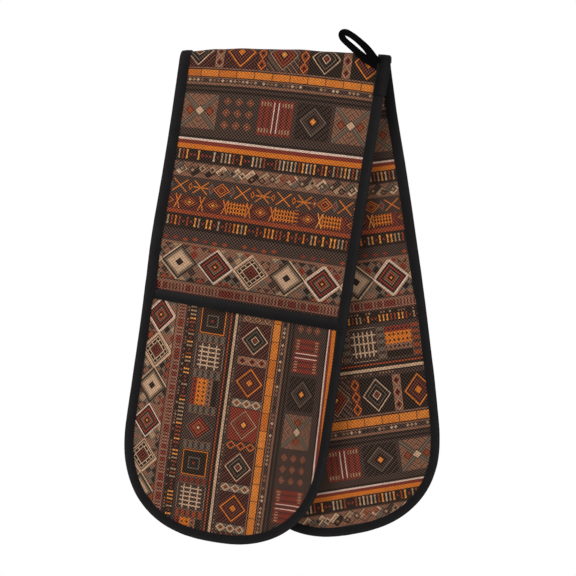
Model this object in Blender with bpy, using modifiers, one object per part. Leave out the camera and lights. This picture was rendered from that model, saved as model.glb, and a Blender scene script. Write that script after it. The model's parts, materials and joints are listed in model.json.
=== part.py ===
"""Double oven glove, folded in half over a rail: a long padded strip with a hand pocket at each end.

Metres, +Z up. The origin is the middle of the rail in the fold. The front half hangs at -Y and the back
half at +Y. The fold runs along X and crosses the strip a little askew, so the two halves splay apart.

A place on the strip is (u, v): u across it, and v along it from the middle to the pocket's end.
A lift is a height above the middle of the padding, towards the pocket side.
"""

from math import asin, atan2, cos, pi, radians, sin

import bmesh
import bpy
from mathutils import Matrix, Vector

# Strip, laid flat
STRIP_LENGTH = 0.880
FOLD_WIDTH = 0.183
POCKET_WIDTH = 0.179
POCKET_LENGTH = 0.212
END_LENGTH = 0.095
END_POWER = 2.3
FOLD_SKEW = radians(8.15)

# Cloth, wadding and tape thicknesses. A seam presses the wadding down
CLOTH = 0.0006
BODY_WADDING = 0.0036
BODY_WADDING_AT_SEAM = 0.0010
POCKET_WADDING = 0.0026
POCKET_WADDING_AT_SEAM = 0.0008
TAPE = 0.0009
LAYER_GAP = 0.0003

# Binding tape, folded over the edges
BINDING_WIDTH = 0.0095
MOUTH_BINDING_WIDTH = 0.0100
EDGE_INSET = 0.0017
TAPE_CORNER = 0.0008
SWELL_LENGTH = 0.022
MOUTH_RAMP = 0.012

# Rail that the fold hangs over, and the cut between the two halves' layers
RAIL_DIAMETER = 0.010
RAIL_CLEARANCE = 0.0005
FOLD_CUT = 0.0004

# Room for the hand in a pocket, at its mouth and at its fingertips
MOUTH_GAPE = 0.0140
TIP_GAPE = 0.0085

# Thread
THREAD = 0.0005
STITCH_INSET = 0.0014
THREAD_GAP = 0.00025

# Hanging loop, and the tab of binding that covers its ends
LOOP_REACH = 0.0462
LOOP_TAPE_WIDTH = 0.0052
LOOP_TAPE_THICKNESS = 0.0026
LOOP_EYE = 0.0062
LOOP_LEAN = radians(135)
LOOP_BASE_RUN = 0.0182
LOOP_CLEARANCE = 0.0004
SEWN_END_THICKNESS = 0.0010
SEWN_END_INSET = 0.0024
TAB_LENGTH = 0.035
TAB_OVERHANG = 0.0010
TAB_RAMP = 0.0050

# How finely curves are drawn
BEND_STEPS = 6
TAB_STEPS = 14
END_STEPS = 16
LOOP_STEPS = 14
LOOP_SIDES = 2

# Shares of a length, chosen by hand
SWELL_SHARES = (0, 0.5, 1)
CROWN_SHARES = (0.22, 0.48, 0.76)
GAPE_RISE_SHARE = 0.75
POCKET_ROW_SHARES = (0.45, 0.75)
EYE_SHARES = ((-0.35, 0.05), (0, 0.05), (0.25, 0.42), (0.5, 0.88), (0.68, 1))

# What follows from the sizes above
SKEW_SIN = sin(FOLD_SKEW)
SKEW_COS = cos(FOLD_SKEW)
HALF_LENGTH = STRIP_LENGTH / 2
END_START = HALF_LENGTH - END_LENGTH
MOUTH = HALF_LENGTH - POCKET_LENGTH
SEAM_HALF = CLOTH + LAYER_GAP + BODY_WADDING_AT_SEAM / 2
BODY_HALF = CLOTH + LAYER_GAP + BODY_WADDING / 2
TAPE_LAYER = LAYER_GAP + TAPE
TAPE_OFFSET = LAYER_GAP + TAPE / 2
THREAD_OFFSET = TAPE / 2 + THREAD_GAP + THREAD / 2
FOLD_RADIUS = RAIL_DIAMETER / 2 + RAIL_CLEARANCE + max(BODY_HALF, SEAM_HALF + 2 * TAPE_LAYER)
BEND_LENGTH = FOLD_RADIUS * pi / 2
STITCH_DEPTH = BINDING_WIDTH - STITCH_INSET
TAB_DEPTH = BINDING_WIDTH + TAB_OVERHANG

LOOP_COLOUR = (0.012, 0.012, 0.014)
TAPE_COLOUR = (0.014, 0.014, 0.017)
THREAD_COLOUR = (0.022, 0.022, 0.026)
PRINT_COLOUR = (0.110, 0.055, 0.034)
POCKET_PRINT_COLOUR = (0.125, 0.060, 0.034)
LINING_COLOUR = (0.105, 0.060, 0.040)
WADDING_COLOUR = (0.780, 0.760, 0.710)


def clear_scene():
    for obj in list(bpy.data.objects):
        bpy.data.objects.remove(obj)


def smooth(share):
    """0 to 1 with no slope at either end."""
    share = min(1, max(0, share))
    return share * share * (3 - 2 * share)


def material(name, colour, roughness):
    made = bpy.data.materials.new(name)
    made.use_nodes = True
    shader = made.node_tree.nodes["Principled BSDF"]
    shader.inputs["Base Color"].default_value = (*colour, 1)
    shader.inputs["Roughness"].default_value = roughness
    shader.inputs["Metallic"].default_value = 0
    return made


def half_width(v):
    """Half the strip's width, which draws in a little from the fold to the pocket's mouth."""
    share = min(1, abs(v) / MOUTH)
    return (FOLD_WIDTH + (POCKET_WIDTH - FOLD_WIDTH) * share) / 2


def place(u, v, lift):
    """Where (u, v) of the front half lies once it is folded, at a lift above the middle of its padding."""
    run = u * SKEW_SIN + v * SKEW_COS
    x = u * SKEW_COS - v * SKEW_SIN
    radius = FOLD_RADIUS + lift
    if run < BEND_LENGTH:
        angle = run / FOLD_RADIUS
        return Vector((x, -radius * sin(angle), radius * cos(angle)))
    return Vector((x, -radius, BEND_LENGTH - run))


def swell(depth):
    """How far the wadding has recovered from the seam, at a depth in from the finished edge."""
    return smooth((depth - BINDING_WIDTH) / SWELL_LENGTH)


def body_half(depth):
    """Half the body's thickness."""
    return SEAM_HALF + (BODY_HALF - SEAM_HALF) * swell(depth)


def pocket_half(depth, v):
    """Half the pocket panel's thickness. Its mouth is a seam too."""
    at_seam = CLOTH + LAYER_GAP + POCKET_WADDING_AT_SEAM / 2
    full = CLOTH + LAYER_GAP + POCKET_WADDING / 2
    return at_seam + (full - at_seam) * swell(min(depth, v - MOUTH))


def gape(depth, v):
    """Room between the body and the pocket. At the mouth the binding's inner leg passes there too."""
    below_mouth = min(1, max(0, (v - MOUTH) / POCKET_LENGTH))
    seam_gap = LAYER_GAP + TAPE_LAYER * (1 - smooth((v - MOUTH) / SWELL_LENGTH - 1))
    across = (depth - BINDING_WIDTH) / (POCKET_WIDTH / 2 - BINDING_WIDTH)
    height = MOUTH_GAPE + (TIP_GAPE - MOUTH_GAPE) * below_mouth
    return seam_gap + height * smooth(across / GAPE_RISE_SHARE)


def pocket_middle(depth, v):
    return body_half(depth) + gape(depth, v) + pocket_half(depth, v)


def seam_top(v):
    """Lift of the face that the edge binding closes on: the body's, and below the mouth the pocket's."""
    on_pocket = pocket_middle(0, max(v, MOUTH)) + pocket_half(0, MOUTH)
    rise = min(1, max(0, (v - MOUTH + MOUTH_RAMP) / MOUTH_RAMP))
    return SEAM_HALF + (on_pocket - SEAM_HALF) * rise


def bend_row(share):
    """A line across the strip that is parallel to the fold, as a function of u."""
    run = FOLD_CUT + (BEND_LENGTH - FOLD_CUT) * share
    return lambda u: (run - u * SKEW_SIN) / SKEW_COS


def run_row(run):
    """A line parallel to the fold, at a run along the cloth from its crown."""
    return lambda u: (run - u * SKEW_SIN) / SKEW_COS


def cross_row(v):
    """A line square across the strip."""
    return lambda u: v


def side_station(side, row):
    """Places along a row, by their depth in from the left (-1) or right (1) edge."""
    width = half_width(row(side * FOLD_WIDTH / 2))

    def at(depth):
        u = side * (width - depth)
        return u, row(u)

    return at


def end_station(turn):
    """Places inward from the rounded end, a superellipse, at a turn from 0 (left) to pi (right)."""
    across, along = cos(turn), sin(turn)
    side = 1 if across > 0 else -1
    edge_u = -side * POCKET_WIDTH / 2 * abs(across) ** (2 / END_POWER)
    edge_v = END_START + END_LENGTH * along ** (2 / END_POWER)
    slope = 2 - 2 / END_POWER
    inward = Vector((side * abs(across) ** slope * END_LENGTH, -(along**slope) * POCKET_WIDTH / 2))
    inward.normalize()
    return lambda depth: (edge_u + inward.x * depth, edge_v + inward.y * depth)


def stations(rows):
    """Round the front half's edge: down the left side, round the end and up the right side, each with the
    place in the middle of the strip that it faces."""
    middles = [(0, row(0)) for row in rows]
    left = [(side_station(-1, row), middle) for row, middle in zip(rows, middles)]
    right = [(side_station(1, row), middle) for row, middle in zip(rows, middles)]
    turns = [pi * step / END_STEPS for step in range(1, END_STEPS)]
    end = [(end_station(turn), (0, END_START)) for turn in turns]
    return left + end + right[::-1]


def bend_rows():
    return [bend_row(step / BEND_STEPS) for step in range(BEND_STEPS + 1)]


def swell_depths():
    return [BINDING_WIDTH + SWELL_LENGTH * share for share in SWELL_SHARES]


def body_rows():
    return bend_rows() + [cross_row(MOUTH), cross_row(END_START)]


def pocket_rows(first):
    thick = MOUTH + BINDING_WIDTH + SWELL_LENGTH
    swelling = [MOUTH + depth for depth in swell_depths()]
    rest = [thick + (END_START - thick) * share for share in POCKET_ROW_SHARES]
    return [cross_row(v) for v in [first, *swelling, *rest, END_START]]


def inward(at, middle, crown_shares):
    """(u, v, depth) from the cloth's edge, through the swelling and on to the middle of the strip."""
    depths = [EDGE_INSET, *swell_depths()]
    swollen = Vector(at(depths[-1]))
    rest = Vector(middle) - swollen
    crown = [(*(swollen + rest * share), crown_depth(share)) for share in (*crown_shares, 1)]
    return [(*at(depth), depth) for depth in depths] + crown


def crown_depth(share):
    swollen = BINDING_WIDTH + SWELL_LENGTH
    return swollen + (POCKET_WIDTH / 2 - swollen) * share


def grid_mesh(name, columns, weights=None):
    """An open sheet through columns of points. Columns that meet in the strip's middle share points there."""
    shape = bmesh.new()
    group = shape.verts.layers.deform.new() if weights else None
    made = []
    for i, column in enumerate(columns):
        made.append([shape.verts.new(point) for point in column])
        if weights:
            for vert, weight in zip(made[-1], weights[i]):
                vert[group][0] = weight
    for a, b in zip(made, made[1:]):
        for k in range(len(a) - 1):
            corners = (a[k], a[k + 1], b[k + 1], b[k])
            shape.faces.new(corners)
    bmesh.ops.remove_doubles(shape, verts=shape.verts, dist=THREAD_GAP / 100)
    bmesh.ops.dissolve_degenerate(shape, edges=shape.edges, dist=THREAD_GAP / 100)
    bmesh.ops.recalc_face_normals(shape, faces=shape.faces)
    mesh = bpy.data.meshes.new(name)
    shape.to_mesh(mesh)
    shape.free()
    mesh.shade_smooth()
    return mesh


def add_object(name, data, collection, finish):
    obj = bpy.data.objects.new(name, data)
    collection.objects.link(obj)
    if not data.materials:
        data.materials.append(finish)
    return obj


def thicken(obj, thickness, thin_share=None):
    """Gives a sheet its thickness, half each way. Where a vertex group says so, a seam thins it."""
    solidify = obj.modifiers.new("thickness", "SOLIDIFY")
    solidify.thickness = thickness
    solidify.offset = 0
    solidify.use_even_offset = True
    solidify.use_quality_normals = True
    if thin_share is not None:
        obj.vertex_groups.new(name="full thickness")
        solidify.vertex_group = "full thickness"
        solidify.thickness_vertex_group = thin_share
    return obj


def layer(name, rows, crown_shares, lift, collection, finish):
    """One cloth, each of its places at its lift."""
    columns = []
    for at, middle in stations(rows):
        columns.append([place(u, v, lift(d, v)) for u, v, d in inward(at, middle, crown_shares)])
    obj = add_object(name, grid_mesh(name, columns), collection, finish)
    return thicken(obj, CLOTH)


def wadding(name, rows, crown_shares, lift, fullness, full, at_seam, collection, finish):
    """The padding between two cloths, thinned towards its seams."""
    columns, weights = [], []
    for at, middle in stations(rows):
        places = inward(at, middle, crown_shares)
        columns.append([place(u, v, lift(d, v)) for u, v, d in places])
        weights.append([fullness(d, v) for u, v, d in places])
    obj = add_object(name, grid_mesh(name, columns, weights), collection, finish)
    return thicken(obj, full, at_seam / full)


def wrap_profile(width, inner, outer):
    """Tape folded over an edge: (depth, lift) from its inner leg, round the edge, to its outer leg."""
    return (
        (width, inner),
        (TAPE / 2 + TAPE_CORNER, inner),
        (TAPE / 2, inner + TAPE_CORNER),
        (TAPE / 2, outer - TAPE_CORNER),
        (TAPE / 2 + TAPE_CORNER, outer),
        (width, outer),
    )


def edge_binding(collection, finish):
    """Binding tape that wraps the front half's edge, from the fold to the fold."""
    before_mouth = cross_row(MOUTH - MOUTH_RAMP)
    rows = bend_rows() + [before_mouth] + pocket_rows(MOUTH)
    inner = -SEAM_HALF - TAPE_OFFSET
    columns = []
    for at, _ in stations(rows):
        outer = seam_top(at(0)[1]) + TAPE_OFFSET
        profile = wrap_profile(BINDING_WIDTH, inner, outer)
        columns.append([place(*at(depth), lift) for depth, lift in profile])
    obj = add_object("front_edge_binding", grid_mesh("edge_binding", columns), collection, finish)
    return thicken(obj, TAPE)


def cord_along(name, points, diameter, fineness, collection, finish):
    """A round cord through the points, with closed ends."""
    curve = bpy.data.curves.new(name, "CURVE")
    curve.dimensions = "3D"
    curve.bevel_depth = diameter / 2
    curve.bevel_resolution = fineness
    curve.use_fill_caps = True
    spline = curve.splines.new("POLY")
    spline.points.add(len(points) - 1)
    for spot, point in zip(spline.points, points):
        spot.co = (*point, 1)
    return add_object(name, curve, collection, finish)


def thread(name, points, collection, finish):
    """A row of lockstitch, drawn as one unbroken thread."""
    return cord_along(name, points, THREAD, 0, collection, finish)


def edge_stitching(name, right_end, collection, finish):
    """The row that holds the edge binding, on its outer leg. Its right end lies at a run below the crown."""
    before_mouth = cross_row(MOUTH - MOUTH_RAMP)
    rows = bend_rows() + [before_mouth] + pocket_rows(MOUTH)
    points = []
    for at, _ in stations(rows):
        u, v = at(STITCH_DEPTH)
        if u < 0 or u * SKEW_SIN + v * SKEW_COS > right_end:
            outer = seam_top(at(0)[1]) + TAPE_OFFSET + THREAD_OFFSET
            points.append(place(u, v, outer))
    last = side_station(1, run_row(right_end))(STITCH_DEPTH)
    points.append(place(*last, SEAM_HALF + TAPE_OFFSET + THREAD_OFFSET))
    return thread(name, points, collection, finish)


def mouth_spots():
    """(u, depth) across the pocket's mouth, between the edge binding's legs."""
    width = half_width(MOUTH)
    first = BINDING_WIDTH + LAYER_GAP
    depths = [first, *swell_depths()[1:], *map(crown_depth, CROWN_SHARES)]
    left = [(depth - width, depth) for depth in depths]
    right = [(width - depth, depth) for depth in reversed(depths)]
    return [*left, (0, POCKET_WIDTH / 2), *right]


def mouth_binding(collection, finish):
    """Binding tape over the pocket's top edge."""
    columns = []
    for u, depth in mouth_spots():
        middle = pocket_middle(depth, MOUTH)
        reach = pocket_half(depth, MOUTH) + TAPE_OFFSET
        profile = wrap_profile(MOUTH_BINDING_WIDTH, middle - reach, middle + reach)
        columns.append([place(u, MOUTH + drop, lift) for drop, lift in profile])
    obj = add_object("front_mouth_binding", grid_mesh("mouth_binding", columns), collection, finish)
    return thicken(obj, TAPE)


def mouth_stitching(collection, finish):
    """The row that holds the mouth binding, on the side that shows."""
    drop = MOUTH_BINDING_WIDTH - STITCH_INSET
    points = []
    for u, depth in mouth_spots():
        outer = pocket_middle(depth, MOUTH) + pocket_half(depth, MOUTH) + TAPE_OFFSET + THREAD_OFFSET
        points.append(place(u, MOUTH + drop, outer))
    return thread("front_mouth_stitching", points, collection, finish)


def front_layers(collection, finishes):
    """The cloths and paddings of the front half, from the side that faces the back half outward."""
    body = body_rows()
    pocket = pocket_rows(MOUTH + EDGE_INSET)
    half_cloth = CLOTH / 2

    def lining_lift(depth, v):
        return half_cloth - body_half(depth)

    def face_lift(depth, v):
        return body_half(depth) - half_cloth

    def pocket_lining_lift(depth, v):
        return pocket_middle(depth, v) - pocket_half(depth, v) + half_cloth

    def pocket_face_lift(depth, v):
        return pocket_middle(depth, v) + pocket_half(depth, v) - half_cloth

    cloths = (
        ("front_lining", body, (), lining_lift, "lining"),
        ("front_face_cloth", body, (), face_lift, "print"),
        ("front_pocket_lining", pocket, CROWN_SHARES, pocket_lining_lift, "lining"),
        ("front_pocket_cloth", pocket, CROWN_SHARES, pocket_face_lift, "pocket print"),
    )
    made = [
        layer(name, rows, shares, lift, collection, finishes[finish])
        for name, rows, shares, lift, finish in cloths
    ]
    body_sizes = (BODY_WADDING, BODY_WADDING_AT_SEAM, collection, finishes["wadding"])
    made.append(wadding("front_wadding", body, (), lambda d, v: 0, lambda d, v: swell(d), *body_sizes))
    pocket_sizes = (POCKET_WADDING, POCKET_WADDING_AT_SEAM, collection, finishes["wadding"])
    made.append(
        wadding(
            "front_pocket_wadding",
            pocket,
            CROWN_SHARES,
            pocket_middle,
            lambda d, v: swell(min(d, v - MOUTH)),
            *pocket_sizes,
        )
    )
    return made


def back_copy(obj, collection):
    """The back half is the front half turned half a turn about the upright axis, and shares its meshes."""
    twin = obj.copy()
    twin.name = obj.name.replace("front_", "back_")
    twin.rotation_euler = (0, 0, pi)
    collection.objects.link(twin)
    return twin


def tab_runs():
    return [FOLD_CUT + (TAB_LENGTH - FOLD_CUT) * step / TAB_STEPS for step in range(TAB_STEPS + 1)]


def tab_outer(run):
    """Lift of the tab's outer leg: on the binding, but raised where the loop's sewn ends lie under it."""
    raised_half = LOOP_TAPE_WIDTH + LOOP_CLEARANCE + TAB_LENGTH / TAB_STEPS
    rise = 1 - min(1, max(0, (abs(run - LOOP_BASE_RUN) - raised_half) / TAB_RAMP))
    return SEAM_HALF + TAPE_LAYER + TAPE_OFFSET + (LAYER_GAP + SEWN_END_THICKNESS) * rise


def tab_station(run):
    """The tab wraps the binding, so its depths start outside the edge by one layer of tape."""
    at = side_station(1, run_row(run))
    return lambda depth: at(depth - TAPE_LAYER)


def join_tab(collection, finish):
    """The end of the binding tape, lapped over its start at the fold's right end."""
    inner = -SEAM_HALF - TAPE_LAYER - TAPE_OFFSET
    columns = []
    for run in tab_runs():
        profile = wrap_profile(TAB_DEPTH + TAPE_LAYER, inner, tab_outer(run))
        columns.append([place(*tab_station(run)(depth), lift) for depth, lift in profile])
    obj = add_object("binding_join_tab", grid_mesh("join_tab", columns), collection, finish)
    return thicken(obj, TAPE)


def tab_stitching(collection, finish):
    """Thread down the tab's inner edge and across its lower end."""
    inner_depth = TAB_DEPTH + TAPE_LAYER - STITCH_INSET
    last_run = TAB_LENGTH - STITCH_INSET
    spots = [(run, inner_depth) for run in tab_runs() if run < last_run - STITCH_INSET]
    spots += [(last_run, inner_depth), (last_run, 2 * STITCH_INSET)]
    points = [place(*tab_station(run)(depth), tab_outer(run) + THREAD_OFFSET) for run, depth in spots]
    return thread("tab_stitching", points, collection, finish)


def sewn_end(name, direction, collection, finish):
    """One of the loop's two flat ends, under the tab: the upper one (-1) or the lower one (1)."""
    lift = SEAM_HALF + TAPE_LAYER + LAYER_GAP + SEWN_END_THICKNESS / 2
    middle = LOOP_BASE_RUN + direction * (LOOP_TAPE_WIDTH / 2 + LOOP_CLEARANCE)
    columns = []
    for side in (-1, 0, 1):
        at = side_station(1, run_row(middle + side * LOOP_TAPE_WIDTH / 2))
        columns.append([place(*at(depth), lift) for depth in (SEWN_END_INSET, TAB_DEPTH)])
    return thicken(add_object(name, grid_mesh(name, columns), collection, finish), SEWN_END_THICKNESS)


def loop_frame():
    """The loop's base at the tab's inner edge, the ways along and across it, and the way up that edge."""
    lift = BODY_HALF + LAYER_GAP + LOOP_TAPE_THICKNESS / 2
    at = side_station(1, run_row(LOOP_BASE_RUN))
    base = place(*at(TAB_DEPTH + LOOP_CLEARANCE), lift)
    base.y = -(FOLD_RADIUS + lift)
    along = Vector((cos(LOOP_LEAN), 0, sin(LOOP_LEAN)))
    across = Vector((sin(LOOP_LEAN), 0, -cos(LOOP_LEAN)))
    edge_up = Vector((SKEW_SIN, 0, SKEW_COS))
    return base, along, across, edge_up


def loop_line():
    """The middle of the loop's tape: out along one strand, round the tip and back, as (reach, offset)."""
    base_half = LOOP_TAPE_WIDTH / 2 + LOOP_CLEARANCE / 2
    eye_half = (LOOP_EYE + LOOP_TAPE_WIDTH) / 2
    tip = LOOP_REACH - LOOP_TAPE_WIDTH / 2 - eye_half
    strand = [
        (LOOP_REACH * reach, base_half + (eye_half - base_half) * smooth(spread))
        for reach, spread in EYE_SHARES
    ]
    turns = [pi * step / LOOP_STEPS for step in range(1, LOOP_STEPS)]
    round_tip = [(tip + eye_half * sin(turn), eye_half * cos(turn)) for turn in turns]
    return [*strand, (tip, eye_half), *round_tip, (tip, -eye_half), *[(r, -o) for r, o in reversed(strand)]]


def hanging_loop(collection, finish):
    """Tape bent into a loop. It is drawn round, flattened, and cut along the tab's edge."""
    base, along, across, edge_up = loop_frame()
    points = [base + along * reach + across * offset for reach, offset in loop_line()]
    drawn = cord_along("loop_line", points, LOOP_TAPE_WIDTH, LOOP_SIDES, collection, finish)
    bpy.context.view_layer.update()
    graph = bpy.context.evaluated_depsgraph_get()
    mesh = bpy.data.meshes.new_from_object(drawn.evaluated_get(graph))
    bpy.data.objects.remove(drawn)
    to_base = Matrix.Translation(base)
    flatten = Matrix.Scale(LOOP_TAPE_THICKNESS / LOOP_TAPE_WIDTH, 4, (0, 1, 0))
    mesh.transform(to_base @ flatten @ to_base.inverted())
    shape = bmesh.new()
    shape.from_mesh(mesh)
    bmesh.ops.remove_doubles(shape, verts=shape.verts, dist=THREAD_GAP / 100)
    tab_side = edge_up.cross(Vector((0, 1, 0)))
    cut = bmesh.ops.bisect_plane(
        shape,
        geom=[*shape.verts, *shape.edges, *shape.faces],
        plane_co=base,
        plane_no=-tab_side,
        clear_outer=tab_side.x < 0,
        clear_inner=tab_side.x > 0,
    )
    open_edges = [part for part in cut["geom_cut"] if isinstance(part, bmesh.types.BMEdge)]
    bmesh.ops.holes_fill(shape, edges=open_edges)
    bmesh.ops.recalc_face_normals(shape, faces=shape.faces)
    shape.to_mesh(mesh)
    shape.free()
    mesh.name = "hanging_loop"
    mesh.shade_smooth()
    return add_object("hanging_loop", mesh, collection, finish)


def main():
    clear_scene()
    collection = bpy.data.collections.new("double_oven_glove")
    bpy.context.scene.collection.children.link(collection)
    finishes = {
        "print": material("printed cloth", PRINT_COLOUR, 0.85),
        "pocket print": material("printed pocket cloth", POCKET_PRINT_COLOUR, 0.85),
        "lining": material("printed lining", LINING_COLOUR, 0.9),
        "wadding": material("wadding", WADDING_COLOUR, 0.95),
        "tape": material("binding tape", TAPE_COLOUR, 0.75),
        "thread": material("thread", THREAD_COLOUR, 0.6),
        "loop": material("loop tape", LOOP_COLOUR, 0.7),
    }
    front = front_layers(collection, finishes)
    front.append(edge_binding(collection, finishes["tape"]))
    front.append(mouth_binding(collection, finishes["tape"]))
    front.append(mouth_stitching(collection, finishes["thread"]))
    for obj in front:
        back_copy(obj, collection)
    edge_stitching("front_edge_stitching", TAB_LENGTH + THREAD, collection, finishes["thread"])
    back_row = edge_stitching("back_edge_stitching", FOLD_CUT, collection, finishes["thread"])
    back_row.rotation_euler = (0, 0, pi)
    join_tab(collection, finishes["tape"])
    tab_stitching(collection, finishes["thread"])
    sewn_end("upper_loop_end", -1, collection, finishes["loop"])
    sewn_end("lower_loop_end", 1, collection, finishes["loop"])
    hanging_loop(collection, finishes["loop"])


main()
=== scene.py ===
import json
from math import cos, pi, radians, sin

import bpy
import numpy as np
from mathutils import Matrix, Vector


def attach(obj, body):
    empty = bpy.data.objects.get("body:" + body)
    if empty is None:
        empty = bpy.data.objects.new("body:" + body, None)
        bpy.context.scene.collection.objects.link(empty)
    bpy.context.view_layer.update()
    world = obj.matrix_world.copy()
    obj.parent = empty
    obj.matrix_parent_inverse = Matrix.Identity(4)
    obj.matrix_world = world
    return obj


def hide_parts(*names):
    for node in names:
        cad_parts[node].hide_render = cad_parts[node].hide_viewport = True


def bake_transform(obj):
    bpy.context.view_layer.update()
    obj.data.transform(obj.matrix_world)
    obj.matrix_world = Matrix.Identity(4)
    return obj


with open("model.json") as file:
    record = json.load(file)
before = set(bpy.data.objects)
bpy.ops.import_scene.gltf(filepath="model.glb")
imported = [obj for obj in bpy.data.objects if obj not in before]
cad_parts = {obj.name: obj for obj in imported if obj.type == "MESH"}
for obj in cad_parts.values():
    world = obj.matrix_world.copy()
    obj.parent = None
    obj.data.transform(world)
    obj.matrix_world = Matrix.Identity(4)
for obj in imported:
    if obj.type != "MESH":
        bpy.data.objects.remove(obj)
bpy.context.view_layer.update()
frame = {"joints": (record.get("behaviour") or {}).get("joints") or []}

# The strip as it is cut and folded, in metres: the part's own measures, but for END_POWER, which makes the
# rounded ends a little squarer.
FOLD_WIDTH = 0.183
POCKET_WIDTH = 0.179
POCKET_LENGTH = 0.212
STRIP_LENGTH = 0.880
END_LENGTH = 0.095
END_POWER = 2.4
FOLD_SKEW = radians(8.15)
CLOTH = 0.0006
BODY_WADDING = 0.0036
BODY_WADDING_AT_SEAM = 0.0010
POCKET_WADDING = 0.0026
POCKET_WADDING_AT_SEAM = 0.0008
TAPE = 0.0009
LAYER_GAP = 0.0003
BINDING_WIDTH = 0.0095
EDGE_INSET = 0.0017
SWELL_LENGTH = 0.022
MOUTH_RAMP = 0.012
MOUTH_GAPE = 0.0140
TIP_GAPE = 0.0085
GAPE_RISE_SHARE = 0.75
STITCH_INSET = 0.0014
TAB_DEPTH = 0.0105
RAIL_RADIUS = 0.0050
RAIL_CLEARANCE = 0.0005

HALF_LENGTH = STRIP_LENGTH / 2
END_START = HALF_LENGTH - END_LENGTH
MOUTH = HALF_LENGTH - POCKET_LENGTH
SEAM_HALF = CLOTH + LAYER_GAP + BODY_WADDING_AT_SEAM / 2
BODY_HALF = CLOTH + LAYER_GAP + BODY_WADDING / 2
TAPE_LAYER = LAYER_GAP + TAPE
FOLD_RADIUS = RAIL_RADIUS + RAIL_CLEARANCE + max(BODY_HALF, SEAM_HALF + 2 * TAPE_LAYER)
SKEW_SIN, SKEW_COS = sin(FOLD_SKEW), cos(FOLD_SKEW)

# How the tape lies: narrower where it takes in a pocket's layers, over the mouth's own tape at its corners,
# and round the mouths wider and a little sunk at the right end.
TAPE_TAKEN_UP, TAPE_TAKE_UP_LENGTH = 0.0012, 0.018
OVER_TAPE_LEAD, OVER_TAPE_RAMP = 0.003, 0.004
MOUTH_BINDING_WIDTH = 0.0087
MOUTH_TAPE_FLARE = 0.0014
MOUTH_SAG, MOUTH_SAG_REACH = 0.0015, 0.040

# How closely the points of the cloths, the wadding and the outline lie.
CLOTH_STEP = 0.0028
WADDING_STEP = 0.0045
FOLD_STEP, FOLD_REACH = 0.0010, 0.026
LAST_ROW, ROW_CROWDING = 0.985, 1.7
OUTLINE_TURNS = 1500

# How the cloth hangs: small departures from the plain folded form.
SLIDE = 0.0018
FOLD_DROOP, FOLD_TILT, DROOP_REACH = 0.0034, 0.026, 0.090
FRONT_TILT, TILT_REACH = 0.012, 0.200
FRONT_END_TILT, BACK_END_TILT, END_TILT_REACH = 0.015, 0.030, 0.120
SWAY = 0.0008
CUP = 0.0004
PUCKER, PUCKER_REACH = 0.00030, 0.009
PUCKER_SPAN, PUCKER_DRIFT = 0.03, 0.05
PUCKER_AT_FOLD = 0.3
PUFF_SHARE = 0.13
GAPE_SHARE = 0.16
CALM_START, CALM_LENGTH = 0.018, 0.060
FIELD_WAVES = 7
# How far the outer long edges bow out, all along and in a bulge above the pocket, front and back.
SPREAD_START, SPREAD_FULL = 0.060, 0.180
FRONT_FADE, FRONT_FADED = 0.330, 0.420
BACK_FADE, BACK_FADED = 0.300, 0.375
BULGE_REACH = 0.045
FRONT_SPREAD, FRONT_BULGE, FRONT_BULGE_AT = 0.0009, 0.0017, 0.190
BACK_SPREAD, BACK_BULGE, BACK_BULGE_AT = 0.0021, 0.0010, 0.230

# Tape and thread. A stitch's rings lie at shares of its length, with rises over the tape and shares of its
# radius.
STITCH_PITCH = 0.0030
STITCH_LENGTH = 0.0024
STITCH_RADIUS = 0.00027
STITCH_SIDES = 6
STITCH_SHARES = (-0.5, -0.40, 0.0, 0.40, 0.5)
STITCH_RISES = (-0.00045, -0.00012, 0.00010, -0.00012, -0.00045)
STITCH_GIRTHS = (0.45, 0.9, 1.0, 0.9, 0.45)
STATIONS_A_STITCH = 3
STITCH_DIP, STITCH_DIP_SHARE = 0.00016, 0.045
TAPE_RIPPLE, TAPE_RIPPLE_SPAN = 0.00007, 0.02

# The photograph's view: a level camera in front of the glove.
VIEW_DISTANCE = 1.25
VIEW_HEIGHT = -0.1994
VIEW_ACROSS = 0.0031
VIEW_SPAN = 0.511
VIEW_ROLL = radians(-0.33)
SENSOR = 36

MILLIMETRE = 0.001
TINY = 1e-9


def smooth(share):
    """0 to 1 with no slope at either end."""
    share = np.clip(share, 0, 1)
    return share * share * (3 - 2 * share)


def soft_field(seed, shortest, longest):
    """A gentle unevenness over the strip, from -1 to 1: a few waves of seeded lengths and headings."""
    draw = np.random.default_rng(seed)
    lengths = draw.uniform(shortest, longest, FIELD_WAVES)
    headings = draw.uniform(0, pi, FIELD_WAVES)
    phases = draw.uniform(0, 2 * pi, FIELD_WAVES)

    def at(u, v):
        total = 0
        for length, heading, phase in zip(lengths, headings, phases):
            total = total + np.sin(2 * pi * (u * cos(heading) + v * sin(heading)) / length + phase)
        return total / FIELD_WAVES**0.5

    return at


sway_field = soft_field(11, 0.11, 0.26)
pucker_field = soft_field(12, 0.009, 0.024)
puff_field = soft_field(13, 0.022, 0.055)
pocket_field = soft_field(14, 0.050, 0.120)
tape_field = soft_field(15, 0.006, 0.021)


def rounded(wave, power):
    """A sine or cosine to a power, its sign kept, which fills out or thins a round form."""
    return np.sign(wave) * np.abs(wave) ** power


def lengths_along(line):
    """How far along a line of points each one comes."""
    return np.concatenate(([0], np.cumsum(np.linalg.norm(np.diff(line, axis=0), axis=1))))


def half_width(v):
    """Half the finished width, which narrows a little from the fold to the pockets' mouths."""
    share = np.minimum(1, np.abs(v) / MOUTH)
    return (FOLD_WIDTH + (POCKET_WIDTH - FOLD_WIDTH) * share) / 2


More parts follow.
